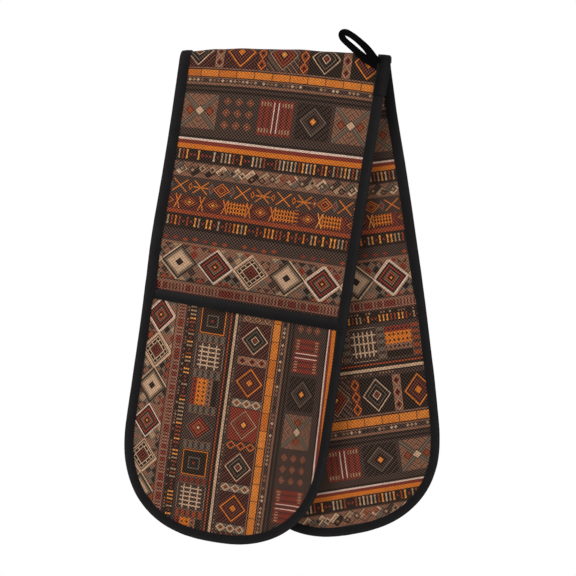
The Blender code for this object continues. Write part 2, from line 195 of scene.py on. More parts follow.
def depth_of(u, v):
    """How far (u, v) lies in from the strip's finished edge, to first order at the rounded ends."""
    past = np.maximum(np.abs(v) - END_START, 0) / END_LENGTH
    across = np.abs(u) / (POCKET_WIDTH / 2)
    reach = np.maximum((across**END_POWER + past**END_POWER) ** (1 / END_POWER), TINY)
    rise_u = across ** (END_POWER - 1) / (POCKET_WIDTH / 2)
    rise_v = past ** (END_POWER - 1) / END_LENGTH
    steep = np.maximum(np.hypot(rise_u, rise_v), TINY) * reach ** (1 - END_POWER)
    depth = np.where(past > 0, (1 - reach) / steep, half_width(v) - np.abs(u))
    return np.minimum(depth, POCKET_WIDTH / 2)


def swell(depth):
    """How far the padding has filled out from its seam, 0 to 1."""
    return smooth((depth - BINDING_WIDTH) / SWELL_LENGTH)


def sway(u, v):
    """How far every layer of the body leaves the flat together, as cloth that has hung for a while."""
    calm = smooth((np.abs(v) - CALM_START) / CALM_LENGTH)
    near_edge = np.exp(-np.maximum(depth_of(u, v) - BINDING_WIDTH, 0) / PUCKER_REACH)
    ruffle = pucker_field(np.tanh(u / PUCKER_SPAN) * PUCKER_DRIFT, v) * near_edge
    pucker = PUCKER * ruffle * (PUCKER_AT_FOLD + (1 - PUCKER_AT_FOLD) * calm)
    cup = CUP * (u / half_width(v)) ** 2
    return calm * (SWAY * sway_field(u, v) + cup) + pucker


def body_half(u, v):
    """Half the thickness of the padded strip."""
    depth = depth_of(u, v)
    half = SEAM_HALF + (BODY_HALF - SEAM_HALF) * swell(depth)
    return half * (1 + PUFF_SHARE * puff_field(u, v) * swell(depth))


def mouth_right(across):
    """0 at a pocket mouth's left end and 1 at its right one."""
    return (1 + across / half_width(MOUTH)) / 2


def mouth_sag(across, down):
    """How far a pocket's mouth has sunk: more towards its right end, and less below the mouth."""
    return MOUTH_SAG * mouth_right(across) * (1 - smooth((down - MOUTH) / MOUTH_SAG_REACH))


def pocket_half(u, v):
    """Half the thickness of a padded pocket panel."""
    at_seam = CLOTH + LAYER_GAP + POCKET_WADDING_AT_SEAM / 2
    full = CLOTH + LAYER_GAP + POCKET_WADDING / 2
    plump = swell(np.minimum(depth_of(u, v), np.abs(v) - MOUTH))
    return (at_seam + (full - at_seam) * plump) * (1 + PUFF_SHARE * puff_field(v, u) * plump)


def gape(u, v):
    """Room between the body and the pocket. At the mouth its tape's inner leg passes there too."""
    down = np.abs(v) - MOUTH
    below = np.clip(down / POCKET_LENGTH, 0, 1)
    seam_gap = LAYER_GAP + TAPE_LAYER * (1 - smooth(down / SWELL_LENGTH - 1))
    across = (depth_of(u, v) - BINDING_WIDTH) / (POCKET_WIDTH / 2 - BINDING_WIDTH)
    height = (MOUTH_GAPE + (TIP_GAPE - MOUTH_GAPE) * below) * (1 + GAPE_SHARE * pocket_field(u, v))
    return seam_gap + height * smooth(across / GAPE_RISE_SHARE)


def pocket_middle(u, v):
    """The lift of a pocket panel's middle over the strip's."""
    return body_half(u, v) + gape(u, v) + pocket_half(u, v)


def spread(u, v):
    """How far the cloth is drawn out sideways: fully at each half's outer edge and not at its inner one."""
    reach = np.abs(v)
    along = smooth((reach - SPREAD_START) / (SPREAD_FULL - SPREAD_START))
    front = along * (1 - smooth((reach - FRONT_FADE) / (FRONT_FADED - FRONT_FADE)))
    back = along * (1 - smooth((reach - BACK_FADE) / (BACK_FADED - BACK_FADE)))
    front = FRONT_SPREAD * front + FRONT_BULGE * np.exp(-(((reach - FRONT_BULGE_AT) / BULGE_REACH) ** 2))
    back = BACK_SPREAD * back + BACK_BULGE * np.exp(-(((reach - BACK_BULGE_AT) / BULGE_REACH) ** 2))
    side = np.sign(v)
    return np.where(v > 0, -front, back) * (1 - side * u / half_width(v)) / 2


def place(u, v, lift):
    """Where (u, v) of the strip lies, folded and hanging, at a lift above the middle of its padding."""
    run = u * SKEW_SIN + v * SKEW_COS + SLIDE
    run = run + FRONT_TILT * u * smooth(v / TILT_REACH)
    end_tilt = np.where(v > 0, FRONT_END_TILT, BACK_END_TILT)
    run = run + end_tilt * u * smooth((np.abs(v) - HALF_LENGTH) / END_TILT_REACH + 1)
    wide = u + spread(u, v)
    x = wide * SKEW_COS - v * SKEW_SIN
    angle = np.clip(run / FOLD_RADIUS, -pi / 2, pi / 2)
    beyond = np.abs(run - angle * FOLD_RADIUS)
    radius = FOLD_RADIUS + lift + sway(u, v)
    near_fold = 1 - smooth(beyond / DROOP_REACH)
    droop = (FOLD_DROOP * (u / half_width(v)) ** 2 + FOLD_TILT * u) * near_fold
    return np.stack((x, -radius * np.sin(angle), radius * np.cos(angle) - beyond - droop), axis=-1)


# Where each cloth's bands lie: places along the cloth, and the design's own measure there, in millimetres.
DESIGN_REPEAT = 284
DESIGN_START = -11
STRIP_BANDS = (
    (-440, -445), (0, -5), (28.5, 22.1), (34.5, 30), (63.3, 58.5), (89.5, 82.6), (95.5, 90), (117.8, 111.5),
    (141, 137), (158, 154), (165, 160), (178.5, 172.5), (184, 179.5), (216.8, 212), (224, 218.5), (440, 434),
)
STRIP_SKEW, STRIP_SKEW_REACH, STRIP_SKEW_FADE = 0.10, 200, 1.6
LINING_BANDS = (
    (-440, 412), (-424, 395.5), (-403.5, 374), (-399, 366.6), (-377.5, 342.5), (-342.5, 306.1),
    (-320.5, 287.7), (-295.5, 266.6), (-273, 249), (-250, 228), (-217, 196.5), (-199, 179.5),
    (-182.5, 160), (-166, 145.5), (-139, 111.5), (-118.5, 90), (-113.5, 82.6), (0, -30), (440, -470),
)
POCKET_BANDS = (
    (-90, 174), (-84.3, 181), (-58.7, 212), (-44.3, 228), (-25.5, 249), (-10.5, 263.2), (-6.2, 266.6),
    (13.5, 287.7), (30, 306.1), (36.8, 314), (46.3, 326.5), (70.5, 358.5), (76.5, 366.6), (79.5, 374),
    (90, 386),
)
POCKET_LEAN, POCKET_EDGE_LEAN, POCKET_LEAN_AT, POCKET_EDGE = 0.010, 0.026, 0.300, 0.038


def bands_at(knots, where):
    """The design's measure at places along a cloth."""
    places, measures = zip(*knots)
    return np.interp(where / MILLIMETRE, places, measures) * MILLIMETRE


def strip_print(u, v):
    """A place on the strip's outer cloth in the design: its bands cross it, a little aslant at the fold."""
    slant = STRIP_SKEW * np.maximum(1 - np.abs(v) / MILLIMETRE / STRIP_SKEW_REACH, 0) ** STRIP_SKEW_FADE
    return u, bands_at(STRIP_BANDS, v + slant * u)


def lining_print(u, v):
    """The same for the inner cloth."""
    return u, bands_at(LINING_BANDS, v)


def pocket_print(u, v):
    """The same for a pocket's cloth, whose bands run down it and lean out a little."""
    across, down = u * np.sign(v), np.abs(v)
    lean = POCKET_LEAN + POCKET_EDGE_LEAN * smooth((across - POCKET_EDGE) / POCKET_EDGE)
    return down, bands_at(POCKET_BANDS, across - lean * (down - POCKET_LEAN_AT))


def new_piece(name, points, faces, finish, maps=None):
    """A mesh piece from its points, its faces and its flat maps: a pair of numbers at each point."""
    mesh = bpy.data.meshes.new(name)
    mesh.from_pydata(np.reshape(points, (-1, 3)).tolist(), [], faces)
    corners = np.zeros(len(mesh.loops), np.int32)
    mesh.loops.foreach_get("vertex_index", corners)
    for title, (first, second) in (maps or {}).items():
        flat = np.stack((np.ravel(first), np.ravel(second)), axis=-1)
        layer = mesh.uv_layers.new(name=title)
        layer.data.foreach_set("uv", flat[corners].astype(np.float32).ravel())
    mesh.materials.append(finish)
    mesh.shade_smooth()
    piece = bpy.data.objects.new(name, mesh)
    bpy.context.scene.collection.objects.link(piece)
    return piece


def quads(index_rows, wrap=False):
    """Faces between neighbouring rows of indices. With wrap the last row meets the first."""
    rows = np.asarray(index_rows)
    if wrap:
        rows = np.vstack((rows, rows[:1]))
    a, b = rows[:-1, :-1], rows[:-1, 1:]
    c, d = rows[1:, 1:], rows[1:, :-1]
    return np.stack((a, b, c, d), axis=-1).reshape(-1, 4)


def shell(name, u, v, low, high, finish, flat_map=None):
    """A closed layer between two lifts over a grid of places on the strip."""
    rows, columns = u.shape
    points = np.concatenate((place(u, v, high).reshape(-1, 3), place(u, v, low).reshape(-1, 3)))
    top = np.arange(rows * columns).reshape(rows, columns)
    under = top + rows * columns
    rim = np.concatenate((top[0], top[1:, -1], top[-1, -2::-1], top[-2:0:-1, 0]))
    rim = np.append(rim, rim[0])
    faces = np.concatenate(
        (quads(top)[:, ::-1], quads(under), quads(np.stack((rim, rim + rows * columns))))
    )
    maps = None
    if flat_map:
        first, second = flat_map(u, v)
        maps = {"print": (np.tile(np.ravel(first), 2), np.tile(np.ravel(second), 2))}
    return new_piece(name, points, faces.tolist(), finish, maps)


def cut_half_width(v, inset):
    """Half the width of a layer that stops an inset short of the finished edge."""
    past = np.minimum(np.maximum(np.abs(v) - END_START, 0) / (END_LENGTH - inset), 1)
    return (half_width(v) - inset) * (1 - past**END_POWER) ** (1 / END_POWER)


def end_rows(step, inset):
    """Places down a rounded end, closer together towards its tip."""
    count = int((END_LENGTH - inset) / step)
    share = 1 - (1 - np.linspace(0, LAST_ROW, count)) ** ROW_CROWDING
    return END_START + (END_LENGTH - inset) * share


def strip_grid(first, last, step, inset):
    """Rows across the strip between two places down it. Rounded ends are taken in."""
    rows = np.arange(max(first, -END_START), min(last, END_START), step)
    if first < 0:
        fold_rows = np.arange(-FOLD_REACH, FOLD_REACH, FOLD_STEP)
        rows = np.sort(np.concatenate((rows[np.abs(rows) > FOLD_REACH], fold_rows)))
    if first < -END_START:
        rows = np.concatenate((-end_rows(step, inset)[:0:-1], [-END_START], rows[1:]))
    if last > END_START:
        rows = np.concatenate((rows, end_rows(step, inset)))
    count = int(FOLD_WIDTH / step)
    across = np.linspace(-1, 1, count + 1)
    return across[None, :] * cut_half_width(rows, inset)[:, None], np.repeat(rows[:, None], count + 1, axis=1)


def body_shell(name, outer, inner, step, finish, flat_map=None):
    """A layer of the whole strip between two faces, each a share of the body's half and a set-back."""
    u, v = strip_grid(-HALF_LENGTH, HALF_LENGTH, step, EDGE_INSET)
    half = body_half(u, v)
    low, high = [sign * (half - set_back) for sign, set_back in (inner, outer)]
    return shell(name, u, v, low, high, finish, flat_map)


def pocket_shell(name, end, outer, inner, step, finish, flat_map=None):
    """A layer of one pocket panel: end is 1 at the front and -1 at the back."""
    u, v = strip_grid(MOUTH + EDGE_INSET, HALF_LENGTH, step, EDGE_INSET)
    u, v = u * end, (v + mouth_sag(u, v)) * end
    middle, half = pocket_middle(u, v), pocket_half(u, v)
    low, high = [middle + sign * (half - set_back) for sign, set_back in (inner, outer)]
    return shell(name, u, v, low, high, finish, flat_map)


def outline():
    """The tape's path: places round the finished edge with the ways inward, by the length along it."""
    side = np.arange(0, 2 * END_START, MILLIMETRE) - END_START
    turn = np.linspace(0, pi, OUTLINE_TURNS)[1:-1]
    end_u = POCKET_WIDTH / 2 * rounded(np.cos(turn), 2 / END_POWER)
    end_v = END_START + END_LENGTH * np.sin(turn) ** (2 / END_POWER)
    u = np.concatenate((half_width(side), end_u, -half_width(side), -end_u))
    v = np.concatenate((side, end_v, -side, -end_v))
    past = np.maximum(np.abs(v) - END_START, 0) / END_LENGTH
    in_u = -np.sign(u) * (np.abs(u) / (POCKET_WIDTH / 2)) ** (END_POWER - 1) / (POCKET_WIDTH / 2)
    in_v = -np.sign(v) * past ** (END_POWER - 1) / END_LENGTH
    size = np.hypot(in_u, in_v)
    steps = np.hypot(np.diff(u, append=u[0]), np.diff(v, append=v[0]))
    length = np.concatenate(([0], np.cumsum(steps)))
    closed = [np.append(values, values[0]) for values in (u, v, in_u / size, in_v / size)]
    return length, closed


PATH_LENGTH, PATH_VALUES = outline()
EDGE_STITCHES = int(PATH_LENGTH[-1] / STITCH_PITCH)
PITCH = PATH_LENGTH[-1] / EDGE_STITCHES


def edge_place(along, depth):
    """(u, v) at a length along the finished edge and a depth in from it."""
    along = np.mod(along, PATH_LENGTH[-1])
    u, v, in_u, in_v = [np.interp(along, PATH_LENGTH, values) for values in PATH_VALUES]
    return u + in_u * depth, v + in_v * depth


def seam_top(u, v):
    """Lift of the face that the edge tape closes on: the body's, below the mouth the pocket's, and on
    the mouth's own tape a little more."""
    down = np.abs(v) - MOUTH
    below = np.maximum(np.abs(v), MOUTH)
    edge_u = np.sign(u) * half_width(v)
    on_pocket = SEAM_HALF + LAYER_GAP + TAPE_LAYER * (1 - smooth((below - MOUTH) / SWELL_LENGTH - 1))
    on_pocket = on_pocket + 2 * pocket_half(edge_u, np.sign(v + TINY) * MOUTH)
    rise = np.clip((down + MOUTH_RAMP) / MOUTH_RAMP, 0, 1)
    lowest = MOUTH_BINDING_WIDTH + (MOUTH_TAPE_FLARE + MOUTH_SAG) * (u * v > 0)
    onto, off = smooth((down + OVER_TAPE_LEAD) / OVER_TAPE_RAMP), smooth((down - lowest) / OVER_TAPE_RAMP)
    return SEAM_HALF + (on_pocket - SEAM_HALF) * smooth(rise) + TAPE * onto * (1 - off)


# A folded tape's section: shares of its width in from the edge, and its rise over what it closes on.
LEG_SHARES = (1.0, 0.985, 0.94, 0.885, 0.8526, 0.815, 0.72, 0.56, 0.40, 0.26)
LEG_RISES = (0.00035, 0.00085, 0.00112, 0.00110, 0.00098, 0.00108, 0.00122, 0.00128, 0.00126, 0.00120)
STITCHED = 4
UNDER_SHARES = (0.95, 0.60, 0.26)
UNDER_RISE = 0.00018
BEND_SHARE = 0.17
BEND_POINTS = 9
BEND_SQUARENESS = 0.8
OUTER_SIDE, INNER_SIDE = 0.0, 0.1
UNDER_BEND_POINTS = 3
OUTSIDE_POINTS = 2 * len(LEG_SHARES) + BEND_POINTS


def tape_rise(along, share, side):
    """How far the tape's face stands over its seat, with a dip at each stitch and a slight unevenness."""
    rise = np.interp(-share, [-place for place in LEG_SHARES], LEG_RISES)
    stitch = np.exp(-(((share - LEG_SHARES[STITCHED]) / STITCH_DIP_SHARE) ** 2))
    dip = STITCH_DIP * (0.5 + 0.5 * np.cos(2 * pi * along / PITCH)) * stitch
    uneven = TAPE_RIPPLE * tape_field(along, share * TAPE_RIPPLE_SPAN + side) * (1 - share) ** 0.5
    return rise - dip + uneven


def folded_section(along, width, outer_seat, inner_seat):
    """Depths and lifts round a folded tape's section, its outside and then its inside, a row a place."""
    along, width = along[:, None], np.broadcast_to(width, along.shape)[:, None]
    outer_seat, inner_seat = outer_seat[:, None], inner_seat[:, None]
    shares = np.array(LEG_SHARES)[None, :]
    outer = outer_seat + tape_rise(along, shares, OUTER_SIDE)
    inner = inner_seat - tape_rise(along, shares, INNER_SIDE)
    depth = shares * width
    turns = np.linspace(pi / 2, -pi / 2, BEND_POINTS + 2)[None, 1:-1]
    middle = (outer[:, -1:] + inner[:, -1:]) / 2
    reach = (outer[:, -1:] - inner[:, -1:]) / 2
    bend_depth = width * BEND_SHARE * (1 - np.cos(turns) ** BEND_SQUARENESS)
    bend = middle + reach * rounded(np.sin(turns), BEND_SQUARENESS)
    under_depth = np.array(UNDER_SHARES)[None, :] * width
    back_turns = np.linspace(-pi / 2, pi / 2, UNDER_BEND_POINTS + 2)[None, 1:-1]
    back_depth = width * BEND_SHARE - (width * BEND_SHARE - TAPE) * np.cos(back_turns)
    under_outer = np.broadcast_to(outer_seat + UNDER_RISE, under_depth.shape)
    under_inner = np.broadcast_to(inner_seat - UNDER_RISE, under_depth.shape)
    back_middle = (outer_seat + inner_seat) / 2
    back = back_middle + ((outer_seat - inner_seat) / 2 + UNDER_RISE) * np.sin(back_turns)
    depths = (depth, bend_depth, depth[:, ::-1], under_depth, back_depth, under_depth[:, ::-1])
    lifts = (outer, bend, inner[:, ::-1], under_inner, back, under_outer[:, ::-1])
    return np.concatenate(depths, axis=1), np.concatenate(lifts, axis=1)


def ring_faces(stations, around, closed):
    """Faces of a tube: its rings follow one another, and the ends are filled where it isn't closed."""
    index = np.arange(stations * around).reshape(stations, around)
    index = np.hstack((index, index[:, :1]))
    faces = quads(index, wrap=closed).tolist()
    if not closed:
        faces.append(index[0, :-1].tolist())
        faces.append(index[-1, -2::-1].tolist())
    return faces


def tape_piece(name, points, along, closed, finish):
    """A tube along a tape. Its map runs along it and, across it, in from the nearer of the outside's lips."""
    stations, around = points.shape[:2]
    across = lengths_along(points[0])
    if around > OUTSIDE_POINTS:
        across = np.minimum(across, np.abs(across[OUTSIDE_POINTS - 1] - across))
    maps = {"tape": (np.repeat(along[:, None], around, 1), np.repeat(across[None, :], stations, 0))}
    return new_piece(name, points, ring_faces(stations, around, closed), finish, maps)


def tape_width(v):
    """How far the edge tape reaches in: less where it wraps a pocket's layers too."""
    return BINDING_WIDTH - TAPE_TAKEN_UP * smooth((np.abs(v) - MOUTH) / TAPE_TAKE_UP_LENGTH)


def edge_tape(finish):
    """The binding tape round the whole strip, folded over its edge."""
    along = np.arange(EDGE_STITCHES * STATIONS_A_STITCH) * PITCH / STATIONS_A_STITCH
    edge_u, edge_v = edge_place(along, 0)
    outer_seat = seam_top(edge_u, edge_v)
    depth, lift = folded_section(along, tape_width(edge_v), outer_seat, np.full_like(along, -SEAM_HALF))
    u, v = edge_place(along[:, None], depth)
    return tape_piece("edge_binding_tape", place(u, v, lift), along, True, finish)


def stitch_row(name, count, pitch, spot, finish, start=0.0):
    """Separate stitches along a line. spot gives the place at a length along it and a rise over the tape."""
    rises = np.array(STITCH_RISES)
    radii = STITCH_RADIUS * np.array(STITCH_GIRTHS)
    centres = start + (np.arange(count) + 0.5) * pitch
    along = centres[:, None] + np.array(STITCH_SHARES)[None, :] * STITCH_LENGTH
    line = spot(along, np.broadcast_to(rises, along.shape))
    up = spot(along, np.broadcast_to(rises + MILLIMETRE, along.shape)) - line
    up /= np.linalg.norm(up, axis=-1, keepdims=True)
    ahead = np.gradient(line, axis=1)
    aside = np.cross(ahead, up)
    aside /= np.linalg.norm(aside, axis=-1, keepdims=True)
    turns = np.arange(STITCH_SIDES) * 2 * pi / STITCH_SIDES
    ring = (
        up[:, :, None, :] * np.cos(turns)[None, None, :, None]
        + aside[:, :, None, :] * np.sin(turns)[None, None, :, None]
    )
    points = line[:, :, None, :] + ring * radii[None, :, None, None]
    one = np.arange(len(rises) * STITCH_SIDES).reshape(len(rises), STITCH_SIDES)
    body = quads(np.hstack((one, one[:, :1])))
    faces = []
    for offset in range(0, count * one.size, one.size):
        faces += (body + offset).tolist()
        faces.append((one[0] + offset).tolist())
        faces.append((one[-1, ::-1] + offset).tolist())
    twist = np.broadcast_to(along[:, :, None], points.shape[:3])
    around = np.broadcast_to((turns * STITCH_RADIUS)[None, None, :], points.shape[:3])
    return new_piece(name, points, faces, finish, {"tape": (twist, around)})


def edge_spot(side):
    """The edge tape's row of stitches on its outer leg (1) or its inner leg (-1)."""

    def spot(along, rise):
        edge_u, edge_v = edge_place(along, 0)
        u, v = edge_place(along, tape_width(edge_v) * LEG_SHARES[STITCHED])
        seat = seam_top(edge_u, edge_v) if side > 0 else SEAM_HALF
        return place(u, v, side * (seat + LEG_RISES[STITCHED] + rise))

    return spot


def mouth_line(end):
    """Places across a pocket's mouth, from under one leg of the edge tape to the other."""
    width = half_width(MOUTH) - EDGE_INSET - MILLIMETRE
    count = int(2 * width / STITCH_PITCH) * STATIONS_A_STITCH
    return np.linspace(-width, width, count + 1) * end


def mouth_seats(u, end):
    """The faces of the pocket panel that its mouth's tape closes on."""
    v = np.full_like(u, end * MOUTH)
    middle, half = pocket_middle(u, v), pocket_half(u, v)
    return middle - half, middle + half


def mouth_tape_form(u, end):
    """The width of the mouth's tape, which grows towards its right end, and where its top edge lies."""
    width = MOUTH_BINDING_WIDTH + MOUTH_TAPE_FLARE * mouth_right(u * end)
    return width, MOUTH + mouth_sag(u * end, MOUTH)


def mouth_tape(name, end, finish):
    """The tape folded over a pocket's mouth."""
    u = mouth_line(end)
    under, over = mouth_seats(u, end)
    width, top = mouth_tape_form(u, end)
    drop, lift = folded_section(u, width, over, under)
    wide = np.repeat(u[:, None], drop.shape[1], axis=1)
    points = place(wide, end * (top[:, None] + drop), lift)
    return tape_piece(name, points, u, False, finish)


def mouth_spot(end, side):
    """A mouth tape's row of stitches on its outer leg (1) or its inner leg (-1)."""

    def spot(along, rise):
        u = along * end
        under, over = mouth_seats(u, end)
        width, top = mouth_tape_form(u, end)
        lift = over + LEG_RISES[STITCHED] + rise if side > 0 else under - LEG_RISES[STITCHED] - rise
        return place(u, end * (top + width * LEG_SHARES[STITCHED]), lift)

    return spot


# The join tab and the hanging loop.
TAB_FIRST_RUN = 0.0004
TAB_LAST_RUN = 0.0400
TAB_STATIONS = 71
TAB_ROUNDING = 0.0010
TAB_END_SHARE, TAB_LEG = 0.55, 0.0005
TAB_RAISE, TAB_RAISE_HALF, TAB_RAISE_RAMP = 0.0013, 0.007, 0.006
# How far down from its top the join tab darkens, as painted shade.
TAB_PAINTED_SHADE_REACH = 0.018
LOOP_ROOT_RUN = 0.0165
TAB_CLEARANCE = 0.00012
TAB_SEAT = SEAM_HALF + TAPE_LAYER + TAB_CLEARANCE
SPLINE_STEPS = 24


def tab_place(run, depth):
    """(u, v) on the tab at a run below the fold's crown and a depth in from its own outer edge."""
    width = half_width(0) + TAPE_LAYER
    u = width - depth
    return u, (run - SLIDE - u * SKEW_SIN) / SKEW_COS


def tab_raise(run):
    """How far the loop's sewn ends lift the tab."""
    return TAB_RAISE * smooth(1 - (np.abs(run - LOOP_ROOT_RUN) - TAB_RAISE_HALF) / TAB_RAISE_RAMP)


def join_tab(finish):
    """The edge tape's lapped end, which covers the loop's root and closes up at both of its own ends."""
    run = np.linspace(TAB_FIRST_RUN, TAB_LAST_RUN, TAB_STATIONS)
    width = TAB_DEPTH + TAPE_LAYER
    seat = TAB_SEAT + tab_raise(run)
    depth, lift = folded_section(run, width, seat, np.full_like(run, -TAB_SEAT))
    near_end = np.minimum(run - TAB_FIRST_RUN, TAB_LAST_RUN - run) / TAB_ROUNDING
    close = TAB_END_SHARE + (1 - TAB_END_SHARE) * np.clip(near_end, 0, 1) ** 0.5
    middle = np.where(lift > 0, seat[:, None] + TAB_LEG, -TAB_SEAT - TAB_LEG)
    lift = middle + (lift - middle) * close[:, None]
    u, v = tab_place(run[:, None], depth)
    return tape_piece("binding_join_fold", place(u, v, lift), run, False, finish)


def tab_spot(along, rise):
    """The tab's stitches: down its inner edge, then across its lower end."""
    inner = TAB_DEPTH + TAPE_LAYER - STITCH_INSET
    turn = TAB_LAST_RUN - STITCH_INSET - TAB_FIRST_RUN
    past = np.maximum(along - turn, 0)
    run = TAB_FIRST_RUN + np.minimum(along, turn)
    u, v = tab_place(run, inner - past)
    return place(u, v, TAB_SEAT + tab_raise(run) + LEG_RISES[STITCHED] + rise)


def spline(points, count):
    """A smooth line through points, evenly spaced along it."""
    points = np.asarray(points, float)
    padded = np.vstack((2 * points[0] - points[1], points, 2 * points[-1] - points[-2]))
    share = np.linspace(0, 1, SPLINE_STEPS, endpoint=False)[:, None]
    spans = []
    for a, b, c, d in zip(padded, padded[1:], padded[2:], padded[3:]):
        square, cube = 2 * a - 5 * b + 4 * c - d, 3 * b - a - 3 * c + d
        spans.append(0.5 * (2 * b + (c - a) * share + square * share**2 + cube * share**3))
    line = np.vstack((*spans, points[-1:]))
    length = lengths_along(line)
    even = np.linspace(0, length[-1], count)
    return np.stack([np.interp(even, length, line[:, axis]) for axis in range(line.shape[1])], axis=-1)


# The loop's middle line from its upper sewn end round the eye's far end and back, in its own plane: along it
# from the eye's far end, aside, its width there, and its lift off the body's middle, in millimetres.
LOOP_LINE = (
    (47.0, 0.2, 5.4, 3.6),
    (40.0, 0.4, 5.6, 3.7),
    (34.0, 0.9, 6.4, 4.2),
    (28.5, 1.6, 7.1, 4.9),
    (24.0, 2.6, 6.9, 5.5),
    (19.5, 3.4, 6.4, 5.9),
    (14.0, 3.8, 5.9, 5.9),
    (8.0, 3.9, 5.7, 5.7),
    (2.6, 3.5, 5.7, 5.4),
    (-1.4, 2.6, 5.9, 5.3),
    (-3.6, 1.1, 6.0, 5.2),
    (-4.0, -0.6, 6.0, 5.2),
    (-3.1, -2.1, 5.9, 5.2),
    (-0.6, -3.4, 5.7, 5.2),
    (3.6, -3.9, 5.6, 5.1),
    (9.0, -4.0, 5.8, 4.9),
    (15.0, -4.1, 6.1, 4.5),
    (21.0, -4.25, 6.7, 4.1),
    (26.0, -4.1, 7.0, 3.8),
    (31.0, -3.4, 6.6, 3.7),
    (37.0, -2.6, 6.0, 3.6),
    (45.0, -2.0, 5.6, 3.6),
)
LOOP_EYE_END = (52.7, 21.9)
LOOP_FALL = radians(39.8)
LOOP_STATIONS = 190
LOOP_SECTION = 16
LOOP_SQUARENESS = 0.62
LOOP_THICKNESS, LOOP_END_THICKNESS = 0.0024, 0.0010
LOOP_FLAT_END, LOOP_THICKENING = 0.006, 0.008
LOOP_GROOVE, LOOP_GROOVE_AT, LOOP_GROOVE_SHARE = 0.00022, 0.55, 0.16
LOOP_STITCH_PULL = 0.4


def hanging_loop(finish):
    """The narrow sewn tape, from under the tab round its eye and back under the tab."""
    line = spline(LOOP_LINE, LOOP_STATIONS)
    flat = np.stack(
        (
            LOOP_EYE_END[0] + line[:, 0] * cos(LOOP_FALL) + line[:, 1] * sin(LOOP_FALL),
            LOOP_EYE_END[1] - line[:, 0] * sin(LOOP_FALL) + line[:, 1] * cos(LOOP_FALL),
        ),
        axis=-1,
    )
    flat, width, lift = flat * MILLIMETRE, line[:, 2] * MILLIMETRE, line[:, 3] * MILLIMETRE
    ahead = np.gradient(flat, axis=0)
    ahead /= np.linalg.norm(ahead, axis=1, keepdims=True)
    aside = np.stack((-ahead[:, 1], ahead[:, 0]), axis=-1)
    length = lengths_along(flat)
    from_end = np.minimum(length, length[-1] - length)
    full = smooth((from_end - LOOP_FLAT_END) / LOOP_THICKENING)
    thickness = LOOP_END_THICKNESS + (LOOP_THICKNESS - LOOP_END_THICKNESS) * full
    turns = np.arange(LOOP_SECTION) * 2 * pi / LOOP_SECTION
    across, out = rounded(np.cos(turns), LOOP_SQUARENESS), rounded(np.sin(turns), LOOP_SQUARENESS)
    sewn = np.exp(-(((across - LOOP_GROOVE_AT) / LOOP_GROOVE_SHARE) ** 2))
    stitch = 1 - LOOP_STITCH_PULL + LOOP_STITCH_PULL * np.cos(2 * pi * length / STITCH_PITCH)
    rise = out[None, :] * thickness[:, None] / 2
    rise -= LOOP_GROOVE * np.sign(out)[None, :] * sewn[None, :] * stitch[:, None] * full[:, None]
    shift = across[None, :] * width[:, None] / 2
    points = np.empty((LOOP_STATIONS, LOOP_SECTION, 3))
    points[..., 0] = flat[:, 0, None] + aside[:, 0, None] * shift
    points[..., 2] = flat[:, 1, None] + aside[:, 1, None] * shift
    points[..., 1] = -(FOLD_RADIUS + lift[:, None] + rise)
    return tape_piece("sewn_hanging_loop", points, length, False, finish)


class Amount:
    """A number or a colour that varies over a surface. Its arithmetic adds Math nodes."""

    def __init__(self, tree, socket):
        self.tree, self.socket = tree, socket

    def maths(self, operation, *others):
        """A Math node on this number and the others."""
        inputs = dict(enumerate((self, *others)))
        return self.tree.node("ShaderNodeMath", {"operation": operation}, inputs)

    def __add__(self, other):
        return self.maths("ADD", other)

    def __sub__(self, other):
        return self.maths("SUBTRACT", other)

    def __rsub__(self, other):
        return self.tree.node("ShaderNodeMath", {"operation": "SUBTRACT"}, {0: other, 1: self})

    def __mul__(self, other):
        return self.maths("MULTIPLY", other)

    def __truediv__(self, other):
        return self.maths("DIVIDE", other)

    def __gt__(self, other):
        return self.maths("GREATER_THAN", other)

    def __lt__(self, other):
        return self.maths("LESS_THAN", other)

    def __abs__(self):
        return self.maths("ABSOLUTE")

    __radd__ = __add__
    __rmul__ = __mul__

    def most(self, other):
        """The greater of two numbers."""
        return self.maths("MAXIMUM", other)

    def least(self, other):
        """The smaller of two numbers."""
        return self.maths("MINIMUM", other)

    def floor(self):
        """The whole number at or below this one."""
        return self.maths("FLOOR")

    def wave(self, period):
        """A cosine that repeats over a length."""
        return (self * (2 * pi / period)).maths("COSINE")

    def centred(self, period):
        """The distance from the middle of a repeat, from minus to plus half of it."""
        return self - (self / period + 0.5).floor() * period

    def bars(self, period, half):
        """1 on a bar of this half width in the middle of each repeat."""
        return abs(self.centred(period)) < half

    def within(self, period):
        """The place in a repeat, from 0 to its length."""
        return self.maths("FLOORED_MODULO", period)

    def between(self, low, high):
        """What runs from 0 to 1, turned to run from low to high."""
        return self * (high - low) + low


class Tree:
    """The nodes of a material or of the world."""

    def __init__(self, owner):
        owner.use_nodes = True
        self.nodes, self.links = owner.node_tree.nodes, owner.node_tree.links

    def feed(self, made, inputs):
        """Values and links into a node's sockets."""
        for socket, value in inputs.items():
            if isinstance(value, Amount):
                self.links.new(value.socket, made.inputs[socket])
            else:
                made.inputs[socket].default_value = value

    def node(self, kind, settings, inputs, output=0):
        """A new node: its settings first, then its sockets. It gives one output, or each of a tuple."""
        made = self.nodes.new(kind)
        for setting, value in settings.items():
            if setting == "stops":
                self.set_steps(made.color_ramp, value)
            else:
                setattr(made, setting, value)
        self.feed(made, inputs)
        if isinstance(output, tuple):
            return [Amount(self, made.outputs[each]) for each in output]
        return Amount(self, made.outputs[output])

    def set_steps(self, ramp, steps):
        """Flat steps of colour, each from its own place on."""
        ramp.interpolation = "CONSTANT"
        ramp.elements.remove(ramp.elements[1])
        ramp.elements[0].position, ramp.elements[0].color = steps[0][0], (*steps[0][1], 1)
        for position, colour in steps[1:]:
            ramp.elements.new(position).color = (*colour, 1)


